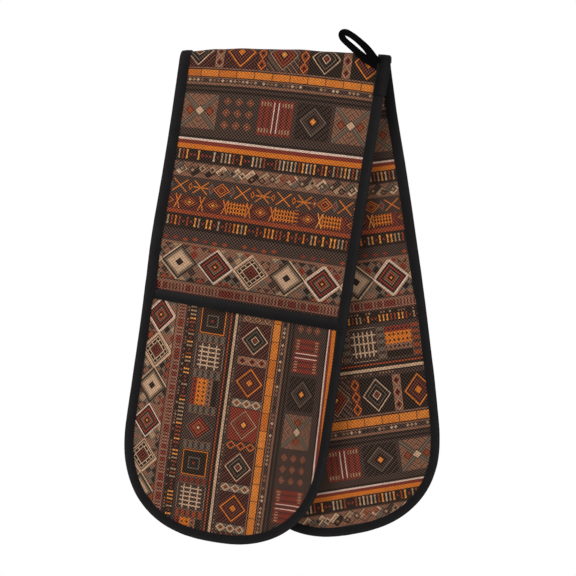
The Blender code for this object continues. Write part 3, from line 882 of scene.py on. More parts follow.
class Finish(Tree):
    """A material and the nodes that give it its surface."""

    def __init__(self, name, **constants):
        self.material = bpy.data.materials.new(name)
        super().__init__(self.material)
        self.shader = self.nodes["Principled BSDF"]
        self.feed(self.shader, {socket.replace("_", " "): value for socket, value in constants.items()})

    def flat_map(self, name):
        """The two numbers of a flat map, in millimetres."""
        place = self.node("ShaderNodeUVMap", {"uv_map": name}, {})
        first, second = self.node("ShaderNodeSeparateXYZ", {}, {0: place}, (0, 1))
        return first / MILLIMETRE, second / MILLIMETRE

    def object_place(self):
        """Where a point of the piece lies, in metres."""
        return self.node("ShaderNodeTexCoord", {}, {}, "Object")

    def painted(self, under, mask, over, how="MIX"):
        """A colour laid over another through a mask."""
        settings = {"data_type": "RGBA", "blend_type": how}
        return self.node("ShaderNodeMix", settings, {0: mask, 6: self.colour(under), 7: self.colour(over)}, 2)

    def colour(self, value):
        """A colour for a socket: a link as it is, and a dye with its alpha."""
        return value if isinstance(value, Amount) else (*value, 1)

    def shaded(self, colour, brightness):
        """A colour made darker or lighter."""
        grey = self.vector(brightness, brightness, brightness)
        return self.painted(colour, 1.0, grey, "MULTIPLY")

    def ramp(self, amount, stops):
        """A colour by steps: each stop is where its colour starts, from 0 to 1."""
        return self.node("ShaderNodeValToRGB", {"stops": stops}, {0: amount})

    def vector(self, x, y, z=0.0):
        """A place or a colour of three numbers."""
        return self.node("ShaderNodeCombineXYZ", {}, {0: x, 1: y, 2: z})

    def speckle(self, x, y):
        """An even random number for each whole place."""
        inputs = {"Vector": self.vector(x, y)}
        return self.node("ShaderNodeTexWhiteNoise", {"noise_dimensions": "2D"}, inputs)

    def cloud(self, place, scale, detail=3.0):
        """Soft noise, from 0 to 1."""
        return self.node("ShaderNodeTexNoise", {}, {"Vector": place, "Scale": scale, "Detail": detail})

    def surface(self, colour, roughness, height, relief, strength):
        """The finished material: its colour, its roughness and a relief as deep as given in metres."""
        inputs = {"Strength": strength, "Distance": relief, "Height": height}
        bump = self.node("ShaderNodeBump", {}, inputs)
        self.feed(self.shader, {"Base Color": colour, "Roughness": roughness, "Normal": bump})
        return self.material


def dye(red, green, blue):
    """A colour as it looks on a screen, 0 to 255, as the light it gives back."""
    shares = [value / 255 for value in (red, green, blue)]
    return tuple(s / 12.92 if s <= 0.04045 else ((s + 0.055) / 1.055) ** 2.4 for s in shares)


# The lattice's light points add a pale tone to every dye, less to the dark ones.
LUMINANCE = (0.2126, 0.7152, 0.0722)
POINT_LIFT = 0.075
POINT_RATE = 10.0
POINT_MEAN = 0.48
POINT_TONE = (1.0, 0.78, 0.57)


def print_dye(red, green, blue):
    """A colour of the print as it shows on the cloth, less what the lattice's points add to it."""
    shown = dye(red, green, blue)
    light = sum(weight * share for weight, share in zip(LUMINANCE, shown))
    added = POINT_MEAN * min(light * POINT_RATE / (1 + POINT_MEAN * POINT_RATE), POINT_LIFT)
    return tuple(max(share - added * tone, 0) for share, tone in zip(shown, POINT_TONE))


SOOT = print_dye(38, 27, 22)
UMBER = print_dye(60, 44, 38)
WINE = print_dye(80, 36, 25)
BRICK = print_dye(116, 51, 33)
RUST = print_dye(134, 63, 36)
ORANGE = print_dye(190, 104, 40)
AMBER = print_dye(206, 130, 62)
TAUPE = print_dye(123, 85, 66)
MOSS = print_dye(98, 84, 71)
ROSE = print_dye(138, 94, 76)
TAN = print_dye(152, 120, 92)
CREAM = print_dye(182, 147, 118)
BONE = print_dye(204, 174, 156)

# The ground of each band of the design, by where it starts, in millimetres, in two runs.
FIRST_GROUNDS = (
    (-11, SOOT), (16.4, TAUPE), (17.5, SOOT), (18.6, ORANGE), (25.5, SOOT), (26.4, TAUPE), (27.6, UMBER),
    (32.2, TAUPE), (34.2, SOOT), (36.4, UMBER), (38.2, SOOT), (40.2, UMBER), (79.8, SOOT), (81.4, BONE),
    (83.4, SOOT), (84, BRICK), (87.8, ORANGE), (92.2, SOOT), (104, UMBER), (105, TAUPE), (118, UMBER),
    (137, WINE),
)
SECOND_START = 140
SECOND_GROUNDS = (
    (SECOND_START, WINE), (150, RUST), (153.6, SOOT), (166, UMBER), (178, TAUPE), (181, UMBER), (212, TAUPE),
    (215.2, WINE), (221.6, UMBER), (222.6, SOOT), (232.8, UMBER), (261.6, SOOT), (262.4, RUST),
    (264.1, SOOT), (265.6, CREAM), (267.8, SOOT), (269.2, UMBER), (272.2, SOOT),
)
# The bands that carry motifs, each by its lower and its upper edge.
DIAMOND_BAND = (-11, 16.4)
BRICK_BAND = (18.6, 25.5)
BLOCK_BAND = (42.5, 74.5)
ZIGZAG_BAND = (105, 118)
CROSS_BAND = (120, 137)
RUST_BAND = (137, 150)
SMALL_DIAMOND_BAND = (166, 178)
GREAT_DIAMOND_BAND = (181, 212)
COMB_BAND = (215.2, 221.6)
SQUARE_BAND = (236, 261)
# Rows of pips: band, pitch, seed, share of them that are there, dyes.
PIP_ROWS = (
    ((28.2, 31.6), 3.6, 18, 0.8, (TAN, CREAM, TAUPE, SOOT)),
    ((223.4, 225.6), 2.6, 21, 0.55, (TAUPE, TAN)),
    ((269.4, 271.4), 2.8, 23, 0.5, (TAUPE,)),
)
# Rows of strokes: band, pitch, seed, dyes.
STROKE_ROWS = (
    ((94.4, 102.6), 3.4, 19, (TAN, AMBER, CREAM, RUST)),
    ((156.4, 163.6), 3.4, 20, (AMBER, RUST, TAN, ORANGE)),
    ((226.6, 232.0), 3.4, 22, (AMBER, TAN, RUST)),
)
STROKE_SHARE = 0.74
PRINT_WAVER, WAVER_SCALE = 0.5, 0.45
NEST_RIM = 0.999


class Print:
    """The printed design while it is being laid down, band by band, in millimetres."""

    def __init__(self, finish):
        self.finish = finish
        self.plain_across, self.plain_along = finish.flat_map("print")
        waver = finish.cloud(finish.vector(self.plain_across, self.plain_along), WAVER_SCALE, 1.0) - 0.5
        drift = finish.cloud(finish.vector(self.plain_along, self.plain_across), WAVER_SCALE, 1.0) - 0.5
        self.across = self.plain_across + waver * PRINT_WAVER
        share = (self.plain_along + drift * PRINT_WAVER - DESIGN_START).within(DESIGN_REPEAT) / DESIGN_REPEAT
        self.along = share * DESIGN_REPEAT + DESIGN_START
        runs = []
        for grounds in (FIRST_GROUNDS, SECOND_GROUNDS):
            stops = [((start - DESIGN_START) / DESIGN_REPEAT, colour) for start, colour in grounds]
            runs.append(finish.ramp(share, stops))
        self.colour = finish.painted(runs[0], self.along > SECOND_START, runs[1])

    def band(self, edges):
        """Within a band, and the distance from its middle line."""
        low, high = edges
        return (self.along > low) * (self.along < high), self.along - (low + high) / 2

    def cells(self, period, seed, shift=0.0):
        """The distance from the middle of each repeat, its number, and its own chance, 0 to 1."""
        number = ((self.across + shift) / period + 0.5).floor()
        return self.across + shift - number * period, number, self.finish.speckle(number, seed)

    def paint(self, mask, colour):
        """A dye where the mask is 1."""
        self.colour = self.finish.painted(self.colour, mask, colour)

    def choose(self, mask, chance, colours):
        """One of several dyes by chance."""
        stops = [(place / len(colours), colour) for place, colour in enumerate(colours)]
        self.paint(mask, self.finish.ramp(chance, stops))

    def nest(self, mask, size, *designs, pick=0.0):
        """Nested outlines from the middle out, by size 0 to 1, in the design whose number is picked."""
        count = len(designs)
        stops = []
        for place, design in enumerate(designs):
            stops += [((place + share) / count, colour) for share, colour in design]
        self.paint(mask * (size < 1.0), self.finish.ramp((size.least(NEST_RIM) + pick) / count, stops))


def lozenge(across, along, across_half, along_half):
    """1 on the outline of a diamond, 0 at its middle."""
    return abs(across) / across_half + abs(along) / along_half


def by_kind(mask, kind, count):
    """A mask for each of the kinds that take turns in a band."""
    return [mask * (abs(kind - place) < 0.5) for place in range(count)]


def lay_diamond_band(design):
    """Nested diamonds on patches, with columns of small ones between them."""
    period, reach, small = 37.0, 12.6, 9.2
    inside, along = design.band(DIAMOND_BAND)
    across, number, chance = design.cells(period, seed=1)
    patch = inside * (abs(across) < 14.6)
    design.choose(patch, chance, (UMBER, WINE, ORANGE, SOOT, BRICK, WINE))
    design.paint(patch * (across + along).bars(3.9, 0.8) * (abs(chance - 0.25) < 0.1), SOOT)
    design.paint(patch * (across - along).bars(5.2, 0.6) * (chance < 0.17), TAUPE)
    design.nest(
        inside, lozenge(across, along, reach, reach),
        ((0, AMBER), (0.20, SOOT), (0.34, BRICK), (0.52, WINE), (0.66, RUST), (0.80, SOOT), (0.91, TAN)),
        ((0, BRICK), (0.14, SOOT), (0.24, CREAM), (0.32, SOOT), (0.60, MOSS), (0.68, SOOT), (0.90, CREAM)),
        ((0, ORANGE), (0.26, SOOT), (0.36, WINE), (0.74, SOOT), (0.86, ORANGE)),
        pick=number.within(3.0),
    )
    beside, _, luck = design.cells(period, seed=2, shift=period / 2)
    design.choose(inside * (abs(beside) < 4.0), luck, (MOSS, TAUPE, WINE, UMBER, TAUPE))
    column = lozenge(beside, along.centred(small), 4.0, small / 2)
    design.choose(inside * (column < 1.0), luck, (CREAM, SOOT, ORANGE, TAN))
    design.nest(
        inside, lozenge(beside, along.centred(small), 3.0, 3.5),
        ((0, RUST), (0.4, SOOT), (0.6, TAN)), ((0, SOOT), (0.5, BRICK)),
        pick=(luck * 2).floor(),
    )
    design.paint(inside * (abs(abs(beside) - 4.0) < 0.35), SOOT)


def lay_bricks(design):
    """Long bricks of uneven tone with dark joints."""
    period = 15.6
    inside, _ = design.band(BRICK_BAND)
    across, _, chance = design.cells(period, seed=3)
    design.paint(inside * (chance * 0.45), AMBER)
    design.paint(inside * (chance < 0.3) * 0.25, RUST)
    design.paint(inside * (abs(abs(across) - period / 2) < 0.45) * 0.75, SOOT)


def lay_pips(design, band, pitch, seed, share, dyes):
    """A row of small round dots, some left out."""
    low, high = band
    inside, along = design.band(band)
    across, _, chance = design.cells(pitch, seed)
    size = lozenge(across, along, pitch * 0.42, (high - low) * 0.5)
    design.choose(inside * (size < 1.0) * (chance < share), chance, dyes)


def lay_strokes(design, band, pitch, seed, dyes):
    """A row of short upright strokes with wider feet, and a small spark in place of one here and there."""
    low, high = band
    inside, along = design.band(band)
    across, _, chance = design.cells(pitch, seed)
    foot = abs(along) > (high - low) * 0.28
    stroke = abs(across) < foot * (pitch * 0.08) + pitch * 0.17
    design.choose(inside * stroke * (chance < STROKE_SHARE), chance / STROKE_SHARE, dyes)
    spark = lozenge(across, along, pitch * 0.40, 1.6) < 1.0
    design.paint(inside * spark * (chance > STROKE_SHARE), BRICK)


def lay_block_band(design):
    """Four blocks in turn: red with two pale lines, a dark nest, a pale cross and stepped diamonds."""
    reach = (15.0, 15.6)
    inside, along = design.band(BLOCK_BAND)
    across, number, _ = design.cells(33.25, seed=4)
    kind = number.within(4.0)
    block = inside * (abs(across) < 15.0) * (abs(along) < 15.2)
    design.choose(block, (kind + 0.5) / 4, (BRICK, SOOT, TAUPE, UMBER))
    red, dark, pale, plain = by_kind(block, kind, 4)
    design.paint(red * across.bars(5.2, 0.9), WINE)
    design.paint(red * (abs(abs(across) - 2.0) < 0.42) * (abs(along) < 13.0), BONE)
    pips = (abs(along) > 9.4) * (abs(along) < 13.0) * (abs(across) > 5.0) * across.bars(2.6, 0.6)
    design.paint(red * pips, TAN)
    design.nest(
        dark, lozenge(across, along, *reach),
        ((0, AMBER), (0.14, ORANGE), (0.20, SOOT), (0.40, UMBER), (0.70, MOSS), (0.80, SOOT)),
    )
    design.paint(dark * (across + along).bars(5.6, 0.9) * (lozenge(across, along, *reach) > 1.0), UMBER)
    arms = abs(abs(across) - abs(along))
    design.paint(pale * (abs(across) + abs(along)).bars(5.2, 0.45) * (arms > 4.0), UMBER)
    design.paint(pale * (arms < 2.7), SOOT)
    design.paint(pale * (arms < 2.0), MOSS)
    design.nest(pale, lozenge(across, along, 5.0, 5.0), ((0, CREAM), (0.80, SOOT)))
    design.nest(pale, lozenge(abs(across) - 8.6, along, 3.8, 4.6), ((0, RUST), (0.75, SOOT)))
    steps = abs(across.centred(10.0)) + abs(along.centred(10.2))
    design.nest(plain, steps / 4.6, ((0, TAN), (0.22, SOOT), (0.40, RUST), (0.72, MOSS), (0.86, SOOT)))


def lay_zigzag(design):
    """Two-toned diamonds edge to edge with smaller ones strewn over them, under a zigzag line."""
    period = 12.6
    inside, along = design.band(ZIGZAG_BAND)
    across, _, chance = design.cells(period, seed=5)
    size = lozenge(across, along, 7.4, 7.0)
    large = inside * (size < 1.0)
    design.choose(large, chance, (TAN, UMBER, TAUPE, CREAM, SOOT, TAN, MOSS))
    design.choose(large * (across + along > 0.0), chance, (TAUPE, TAN, SOOT, MOSS, TAUPE, CREAM))
    design.paint(inside * (abs(size - 0.96) < 0.06), SOOT)
    beside, _, luck = design.cells(8.8, seed=6, shift=3.1)
    smaller = lozenge(beside, along + (luck - 0.5) * 5.0, 3.4, 3.6)
    design.choose(inside * (smaller < 1.0), luck, (SOOT, TAUPE, CREAM, UMBER, MOSS, TAN, RUST))
    design.choose(inside * (smaller < 0.5), luck, (TAUPE, SOOT, UMBER, TAN, SOOT, UMBER, TAUPE))
    design.paint(inside * (abs(along - abs(across.centred(period)) + 3.0) < 0.4), UMBER)


def lay_crosses(design):
    """Slanting crosses, asterisks and diamonds by chance, with slim diamonds between them."""
    period, arm = 18.2, 6.4
    inside, along = design.band(CROSS_BAND)
    across, _, chance = design.cells(period, seed=7)
    pick = (chance * 3).floor()
    slant = abs(abs(across) - abs(along)) < 0.75
    near = inside * (abs(across) < arm) * (abs(along) < arm)
    design.paint(near * (abs(pick - 2) > 0.5) * slant, ORANGE)
    design.paint(near * (abs(pick - 1) < 0.5) * (abs(along) < 0.6), ORANGE)
    design.nest(
        inside * (pick > 1.5), lozenge(across, along, 7.4, 7.0),
        ((0, BRICK), (0.25, SOOT), (0.42, ORANGE), (0.56, WINE), (0.84, ORANGE)),
    )
    beside, _, luck = design.cells(period, seed=8, shift=period / 2)
    design.nest(
        inside, lozenge(beside, along, 2.9, 6.0),
        ((0, CREAM), (0.28, SOOT), (0.5, RUST), (0.85, SOOT)), ((0, SOOT), (0.35, ORANGE), (0.6, WINE)),
        ((0, BRICK), (0.6, MOSS)),
        pick=(luck * 3).floor(),
    )


def lay_rust_band(design):
    """Orange grids and flat diamonds by chance, with small wedges or dashes between them."""
    period = 20.8
    inside, along = design.band(RUST_BAND)
    across, _, chance = design.cells(period, seed=9)
    pick = (chance * 3).floor()
    patch = inside * (abs(across) < 8.4) * (abs(along) < 5.4) * (pick < 0.5)
    design.paint(patch, SOOT)
    design.paint(patch * across.bars(2.6, 0.55).most(along.bars(3.4, 0.5)), ORANGE)
    design.nest(
        inside * (pick > 0.5), lozenge(across, along, 9.6, 6.2),
        ((0, AMBER), (0.20, SOOT), (0.36, ORANGE), (0.48, WINE), (0.70, RUST), (0.84, SOOT)),
        ((0, SOOT), (0.30, RUST), (0.44, SOOT), (0.62, ORANGE), (0.74, WINE)),
        pick=pick - 1,
    )
    beside, _, luck = design.cells(period, seed=10, shift=period / 2)
    wedge = abs(abs(beside) - abs(along) * 0.35) < 0.5
    design.choose(inside * wedge * (luck > 0.3), luck, (AMBER, BRICK, ORANGE))
    design.paint(inside * along.bars(3.3, 0.5) * (luck < 0.3) * (abs(beside) < 2.0), ORANGE)


def lay_small_diamonds(design):
    """A loose row of small red diamonds, each at its own height."""
    inside, along = design.band(SMALL_DIAMOND_BAND)
    across, _, chance = design.cells(8.6, seed=11)
    size = lozenge(across, along - 1.6 - chance * 2.0, 2.6, 2.4)
    design.choose(inside * (size < 1.0) * (chance > 0.18), chance, (RUST, BRICK, RUST))


def lay_great_diamonds(design):
    """Great nested diamonds of three designs over a ground of small many-coloured ones."""
    period, tile, tile_rise = 31.2, 7.8, 7.75
    inside, along = design.band(GREAT_DIAMOND_BAND)
    across, number, _ = design.cells(period, seed=12)
    beside, _, luck = design.cells(period, seed=13, shift=period / 2)
    small, place, _ = design.cells(tile, seed=14, shift=tile / 2)
    patches = lozenge(small, along.centred(tile_rise), 3.9, 3.9)
    own = design.finish.speckle(place, (along / tile_rise + 0.5).floor())
    design.choose(inside * (patches < 1.0), own, (BRICK, TAUPE, SOOT, TAN, MOSS, UMBER, RUST, TAUPE))
    design.choose(inside * (patches > 1.0), own, (TAUPE, MOSS, TAUPE, UMBER))
    for side in (-1, 1):
        bar = abs(beside * side - along)
        design.paint(inside * (bar < 2.3) * (luck > 0.45), SOOT)
        design.paint(inside * (bar < 1.5) * (luck > 0.45), CREAM)
    pick = number.within(3.0)
    ring = lozenge(across, along, 15.4, 15.0)
    design.nest(
        inside, ring,
        ((0, SOOT), (0.10, BRICK), (0.18, SOOT), (0.28, BRICK), (0.36, SOOT), (0.46, CREAM), (0.54, SOOT),
         (0.74, CREAM), (0.82, SOOT), (0.90, CREAM)),
        ((0, SOOT), (0.24, CREAM), (0.62, TAN), (0.74, MOSS), (0.88, SOOT)),
        ((0, AMBER), (0.08, SOOT), (0.22, RUST), (0.36, MOSS), (0.48, SOOT), (0.60, BRICK), (0.76, SOOT),
         (0.90, BONE)),
        pick=pick,
    )
    ticks = (across + along).bars(7.0, 0.55).most((across - along).bars(7.0, 0.55))
    design.paint(inside * ticks * (ring > 0.54) * (ring < 0.74) * (pick < 0.5), CREAM)


def lay_comb(design):
    """A comb: teeth from a pale spine."""
    inside, along = design.band(COMB_BAND)
    across, _, chance = design.cells(2.9, seed=15)
    design.choose(inside * (abs(across) < 0.80) * (along < 2.4), chance, (ROSE, TAUPE, BRICK, ROSE))
    design.paint(inside * (abs(along - 2.7) < 0.4), ROSE)


def lay_framed_squares(design):
    """Four squares in turn: a frame, a pale grid, bars of brick and orange, and a nest of diamonds."""
    period, edge = 31.0, 11.6
    inside, along = design.band(SQUARE_BAND)
    across, number, _ = design.cells(period, seed=16)
    size = abs(across).most(abs(along))
    framed, bars, filled, nested = by_kind(inside, number.within(4.0), 4)
    design.nest(
        framed, size / edge,
        ((0, BRICK), (0.10, SOOT), (0.36, MOSS), (0.44, SOOT), (0.88, ORANGE), (0.95, SOOT)),
    )
    comb = across.bars(3.9, 0.62) * (abs(along) < 9.6)
    rails = along.bars(6.4, 0.55) * (abs(across) < 11.0)
    design.paint(bars * comb.most(rails) * (abs(across) < 11.0), CREAM)
    filled = filled * (size < edge)
    design.choose(filled, (along + edge) / (2 * edge), (BRICK, ORANGE, ORANGE, TAUPE, SOOT))
    design.paint(filled * (lozenge(across.centred(3.9), along.centred(4.6), 1.2, 1.2) < 1.0), SOOT)
    design.nest(
        nested, lozenge(across, along, 12.0, 12.0),
        ((0, CREAM), (0.14, SOOT), (0.24, RUST), (0.52, SOOT), (0.62, BRICK), (0.80, SOOT), (0.92, MOSS)),
    )
    beside, _, luck = design.cells(period, seed=17, shift=period / 2)
    design.choose(inside * (abs(beside) < 2.6) * along.bars(5.2, 1.5), luck, (BRICK, MOSS, RUST))
    design.paint(inside * (abs(abs(beside) - 3.3) < 0.3), TAUPE)


# The canvas: a lattice of paler points, single yarns, slow wear, and a weave with fuzz on it. Pitches are in
# millimetres, noise scales in turns a millimetre, reliefs in metres.
LATTICE_PITCH, LATTICE_GAIN, LATTICE_LEVEL = 2.82, 1.8, 0.46
YARN_PITCH = 0.95
WEAR_SCALE, FUZZ_SCALE = 0.035, 2.2
# What each of them does to the cloth's brightness, from its least to its greatest, to its height and to its
# roughness.
POINT_SHADES, YARN_SHADES, WEAR_SHADES = (0.75, 1.21), (0.78, 1.22), (0.8, 1.2)
WEAVE_HEIGHT, FUZZ_HEIGHT = 0.5, 0.8
CANVAS_ROUGHNESS, YARN_SMOOTHS, WEAR_SMOOTHS = 0.99, 0.06, 0.08
CANVAS_RELIEF, CANVAS_BUMP = 0.00016, 0.55


def printed_canvas(name):
    """Matte printed canvas: the banded design through a lattice of lighter points, over a plain weave."""
    finish = Finish(name, Specular_IOR_Level=0.08, Sheen_Weight=0.03, Sheen_Roughness=0.5)
    design = Print(finish)
    for lay in (
        lay_diamond_band, lay_bricks, lay_block_band, lay_zigzag, lay_crosses, lay_rust_band,
        lay_small_diamonds, lay_great_diamonds, lay_comb, lay_framed_squares,
    ):
        lay(design)
    for row in PIP_ROWS:
        lay_pips(design, *row)
    for row in STROKE_ROWS:
        lay_strokes(design, *row)
    across, along = design.plain_across, design.plain_along
    lattice = across.wave(LATTICE_PITCH) * along.wave(LATTICE_PITCH)
    points = (lattice * LATTICE_GAIN + LATTICE_LEVEL).most(0.0).least(1.0)
    light = finish.node("ShaderNodeRGBToBW", {}, {0: design.colour})
    lift = points * (light * POINT_RATE).least(POINT_LIFT)
    yarn = finish.speckle((across / YARN_PITCH).floor(), (along / YARN_PITCH).floor())
    place = finish.vector(across, along)
    wear = finish.cloud(place, WEAR_SCALE)
    brightness = points.between(*POINT_SHADES) * yarn.between(*YARN_SHADES) * wear.between(*WEAR_SHADES)
    colour = finish.shaded(design.colour, brightness)
    colour = finish.painted(colour, 1.0, finish.vector(*[lift * tone for tone in POINT_TONE]), "ADD")
    weave = across.wave(YARN_PITCH) * along.wave(YARN_PITCH)
    height = weave * WEAVE_HEIGHT + finish.cloud(place, FUZZ_SCALE, 2.0) * FUZZ_HEIGHT
    roughness = CANVAS_ROUGHNESS - yarn * YARN_SMOOTHS - wear * WEAR_SMOOTHS
    return finish.surface(colour, roughness, height, CANVAS_RELIEF, CANVAS_BUMP)


# The tapes and the thread.
TAPE_BLACK, LOOP_BLACK = dye(33, 31, 32), dye(14, 13, 13)
# The thread's tone between the humps of its ply and on them: painted shade and painted highlight.
THREAD_PAINTED_SHADE, THREAD_PAINTED_HIGHLIGHT = dye(16, 16, 17), dye(36, 35, 37)
TWILL_PITCH, PLY_PITCH, PLY_SLANT = 0.55, 0.6, 1.2
LINT_SCALE, PATCH_SCALE = 0.9, 0.08
TWILL_SHADE, TWILL_SWING = 0.85, 0.125
# The last pair darkens the join tab towards its top: painted shade.
LINT_SHADES, PATCH_SHADES, PAINTED_TOP_SHADES = (0.68, 1.38), (0.75, 1.25), (0.45, 1.0)
# Painted light on the edge tape: a highlight along the lip of its outer leg, a shadow along its stitch line,
# and a highlight rising towards its outer fold.
RIM_SHADE, RIM_PAINTED_HIGHLIGHT, GROOVE_PAINTED_SHADOW, OUTER_EDGE_PAINTED_HIGHLIGHT = 0.66, 1.1, 0.6, 0.7
SEAM_GROOVE_RATE = 1.5
OUTER_EDGE_START, OUTER_EDGE_REACH = 4.0, 4.0
LINT_ROUGHENS, RIM_SMOOTHS = 0.08, 0.05
TWILL_HEIGHT, LINT_HEIGHT = 0.375, 0.8
TAPE_RELIEF, TAPE_BUMP = 0.00010, 0.6
THREAD_ROUGHNESS, PLY_SMOOTHS = 0.6, 0.06
THREAD_RELIEF, THREAD_BUMP = 0.00006, 0.7


def bias_tape(name, tone, roughness, shine, seam=None, painted_top_shade=None):
    """Matte black cotton tape: a fine slanting weave, with a painted highlight on its folded rim and towards
    its outer fold, a painted shadow along its stitch line, and painted shade towards its top where a reach is
    given.
    """
    finish = Finish(name, Specular_IOR_Level=shine)
    along, across = finish.flat_map("tape")
    place = finish.vector(along, across)
    twill = (along + across).wave(TWILL_PITCH) * (along - across).wave(TWILL_PITCH)
    lint = finish.cloud(place, LINT_SCALE, 4.0)
    patch = finish.cloud(place, PATCH_SCALE, 2.0)
    brightness = (twill * TWILL_SWING + TWILL_SHADE) * lint.between(*LINT_SHADES)
    brightness = brightness * patch.between(*PATCH_SHADES)
    dullness = lint.between(roughness - LINT_ROUGHENS, roughness + LINT_ROUGHENS)
    if seam:
        # Painted light: a painted highlight along the lip, a painted shadow along the stitch line, and a
        # painted highlight towards the outer fold. The lip is also a little less rough.
        rim = (1.0 - across / seam).most(0.0)
        painted_groove_shadow = (1.0 - abs(across - seam) * SEAM_GROOVE_RATE).most(0.0)
        painted_outer_highlight = ((across - OUTER_EDGE_START) / OUTER_EDGE_REACH).most(0.0).least(1.0)
        brightness = brightness * (RIM_SHADE + rim * RIM_PAINTED_HIGHLIGHT) * (1.0 - painted_groove_shadow * GROOVE_PAINTED_SHADOW)
        brightness = brightness * (1.0 + painted_outer_highlight * OUTER_EDGE_PAINTED_HIGHLIGHT)
        dullness = dullness - rim * RIM_SMOOTHS
    # Painted shade: darker towards the tape's top end, over the given reach.
    if painted_top_shade:
        brightness = brightness * (along / painted_top_shade).least(1.0).between(*PAINTED_TOP_SHADES)
    height = twill * TWILL_HEIGHT + lint * LINT_HEIGHT
    return finish.surface(finish.shaded(tone, brightness), dullness, height, TAPE_RELIEF, TAPE_BUMP)


def twisted_thread():
    """Black sewing thread, with a painted highlight on the humps of its ply and painted shade between them.
    """
    finish = Finish("black sewing thread", Specular_IOR_Level=0.12)
    along, across = finish.flat_map("tape")
    ply = (along + across * PLY_SLANT).wave(PLY_PITCH)
    # Painted light: lighter on the ply's humps and darker between them, following its relief.
    colour = finish.painted(THREAD_PAINTED_SHADE, ply * 0.5 + 0.5, THREAD_PAINTED_HIGHLIGHT)
    return finish.surface(colour, THREAD_ROUGHNESS - ply * PLY_SMOOTHS, ply, THREAD_RELIEF, THREAD_BUMP)


# The wadding, with noise scales in turns a metre.
WADDING_HOLLOW_SHADE, WADDING_TUFT = dye(214, 208, 194), dye(240, 237, 228)
FIBRE_SCALE, TUFT_SCALE = 900.0, 90.0
FIBRE_SHARE, TUFT_SHARE = 0.6, 0.4
WADDING_ROUGHNESS, FIBRE_SMOOTHS = 0.98, 0.06
WADDING_RELIEF, WADDING_BUMP = 0.0006, 0.7


def cotton_wadding():
    """Off-white wadding: matted fibres in soft tufts, painted darker in the hollows where its relief is low.
    """
    finish = Finish("cotton wadding", Specular_IOR_Level=0.1, Sheen_Weight=0.2)
    place = finish.object_place()
    fibres = finish.cloud(place, FIBRE_SCALE, 5.0)
    tufts = finish.cloud(place, TUFT_SCALE, 2.0)
    # Painted shade: darker where the fibres and tufts leave the relief low.
    colour = finish.painted(WADDING_HOLLOW_SHADE, fibres * FIBRE_SHARE + tufts * TUFT_SHARE, WADDING_TUFT)
    roughness = WADDING_ROUGHNESS - fibres * FIBRE_SMOOTHS
    return finish.surface(colour, roughness, fibres + tufts, WADDING_RELIEF, WADDING_BUMP)


PADDING_SET_BACK = CLOTH + LAYER_GAP
LEGS = ((1, "outer"), (-1, "inner"))


def follows_fold(piece, slot, *nodes):
    """A piece that runs over the fold: the parts it stands for are hidden, and its place is baked into its
    points.
    """
    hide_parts(*nodes)
    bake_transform(piece)
    return piece


def rides_half(piece, half, slot, *nodes):
    """A piece that stays with one half."""
    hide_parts(*nodes)
    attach(piece, half)
    return piece


def make_strip(canvas, tape, thread, fill):
    """The strip's two cloths, the wadding between them, the tape round the edge and its stitches."""
    outer = body_shell("strip_outer_canvas", (1, 0), (1, CLOTH), CLOTH_STEP, canvas, strip_print)
    follows_fold(outer, "printed_cloth", "front_face_cloth", "back_face_cloth")
    inner = body_shell("strip_inner_canvas", (-1, CLOTH), (-1, 0), CLOTH_STEP, canvas, lining_print)
    follows_fold(inner, "lining_cloth", "front_lining", "back_lining")
    middle = body_shell(
        "strip_wadding", (1, PADDING_SET_BACK), (-1, PADDING_SET_BACK), WADDING_STEP, fill
    )
    follows_fold(middle, "wadding", "front_wadding", "back_wadding")
    edge = edge_tape(tape)
    follows_fold(edge, "binding_tape", "front_edge_binding", "back_edge_binding")
    for side, where in LEGS:
        row = stitch_row(f"edge_stitches_{where}", EDGE_STITCHES, PITCH, edge_spot(side), thread)
        nodes = ("front_edge_stitching", "back_edge_stitching") if side > 0 else ()
        follows_fold(row, "thread", *nodes)
    return edge


def make_pocket(half, end, canvas, tape, thread, fill):
    """One pocket panel's two cloths and padding, and the tape over its mouth with its stitches."""
    body = f"{half}_half"
    face = pocket_shell(f"{half}_pocket_canvas", end, (1, 0), (1, CLOTH), CLOTH_STEP, canvas, pocket_print)
    rides_half(face, body, "printed_pocket_cloth", f"{half}_pocket_cloth")
    palm = pocket_shell(
        f"{half}_pocket_inner_canvas", end, (-1, CLOTH), (-1, 0), CLOTH_STEP, canvas, pocket_print
    )
    rides_half(palm, body, "lining_cloth", f"{half}_pocket_lining")
    pad = pocket_shell(
        f"{half}_pocket_fill", end, (1, PADDING_SET_BACK), (-1, PADDING_SET_BACK), WADDING_STEP, fill
    )
    rides_half(pad, body, "wadding", f"{half}_pocket_wadding")
    mouth = mouth_tape(f"{half}_mouth_tape", end, tape)
    rides_half(mouth, body, "binding_tape", f"{half}_mouth_binding")
    span = half_width(MOUTH) - BINDING_WIDTH
    count = int(2 * span / STITCH_PITCH)
    for side, where in LEGS:
        name, spot = f"{half}_mouth_stitches_{where}", mouth_spot(end, side)
        row = stitch_row(name, count, 2 * span / count, spot, thread, start=-span)
        nodes = [f"{half}_mouth_stitching"] if side > 0 else []
        rides_half(row, body, "thread", *nodes)


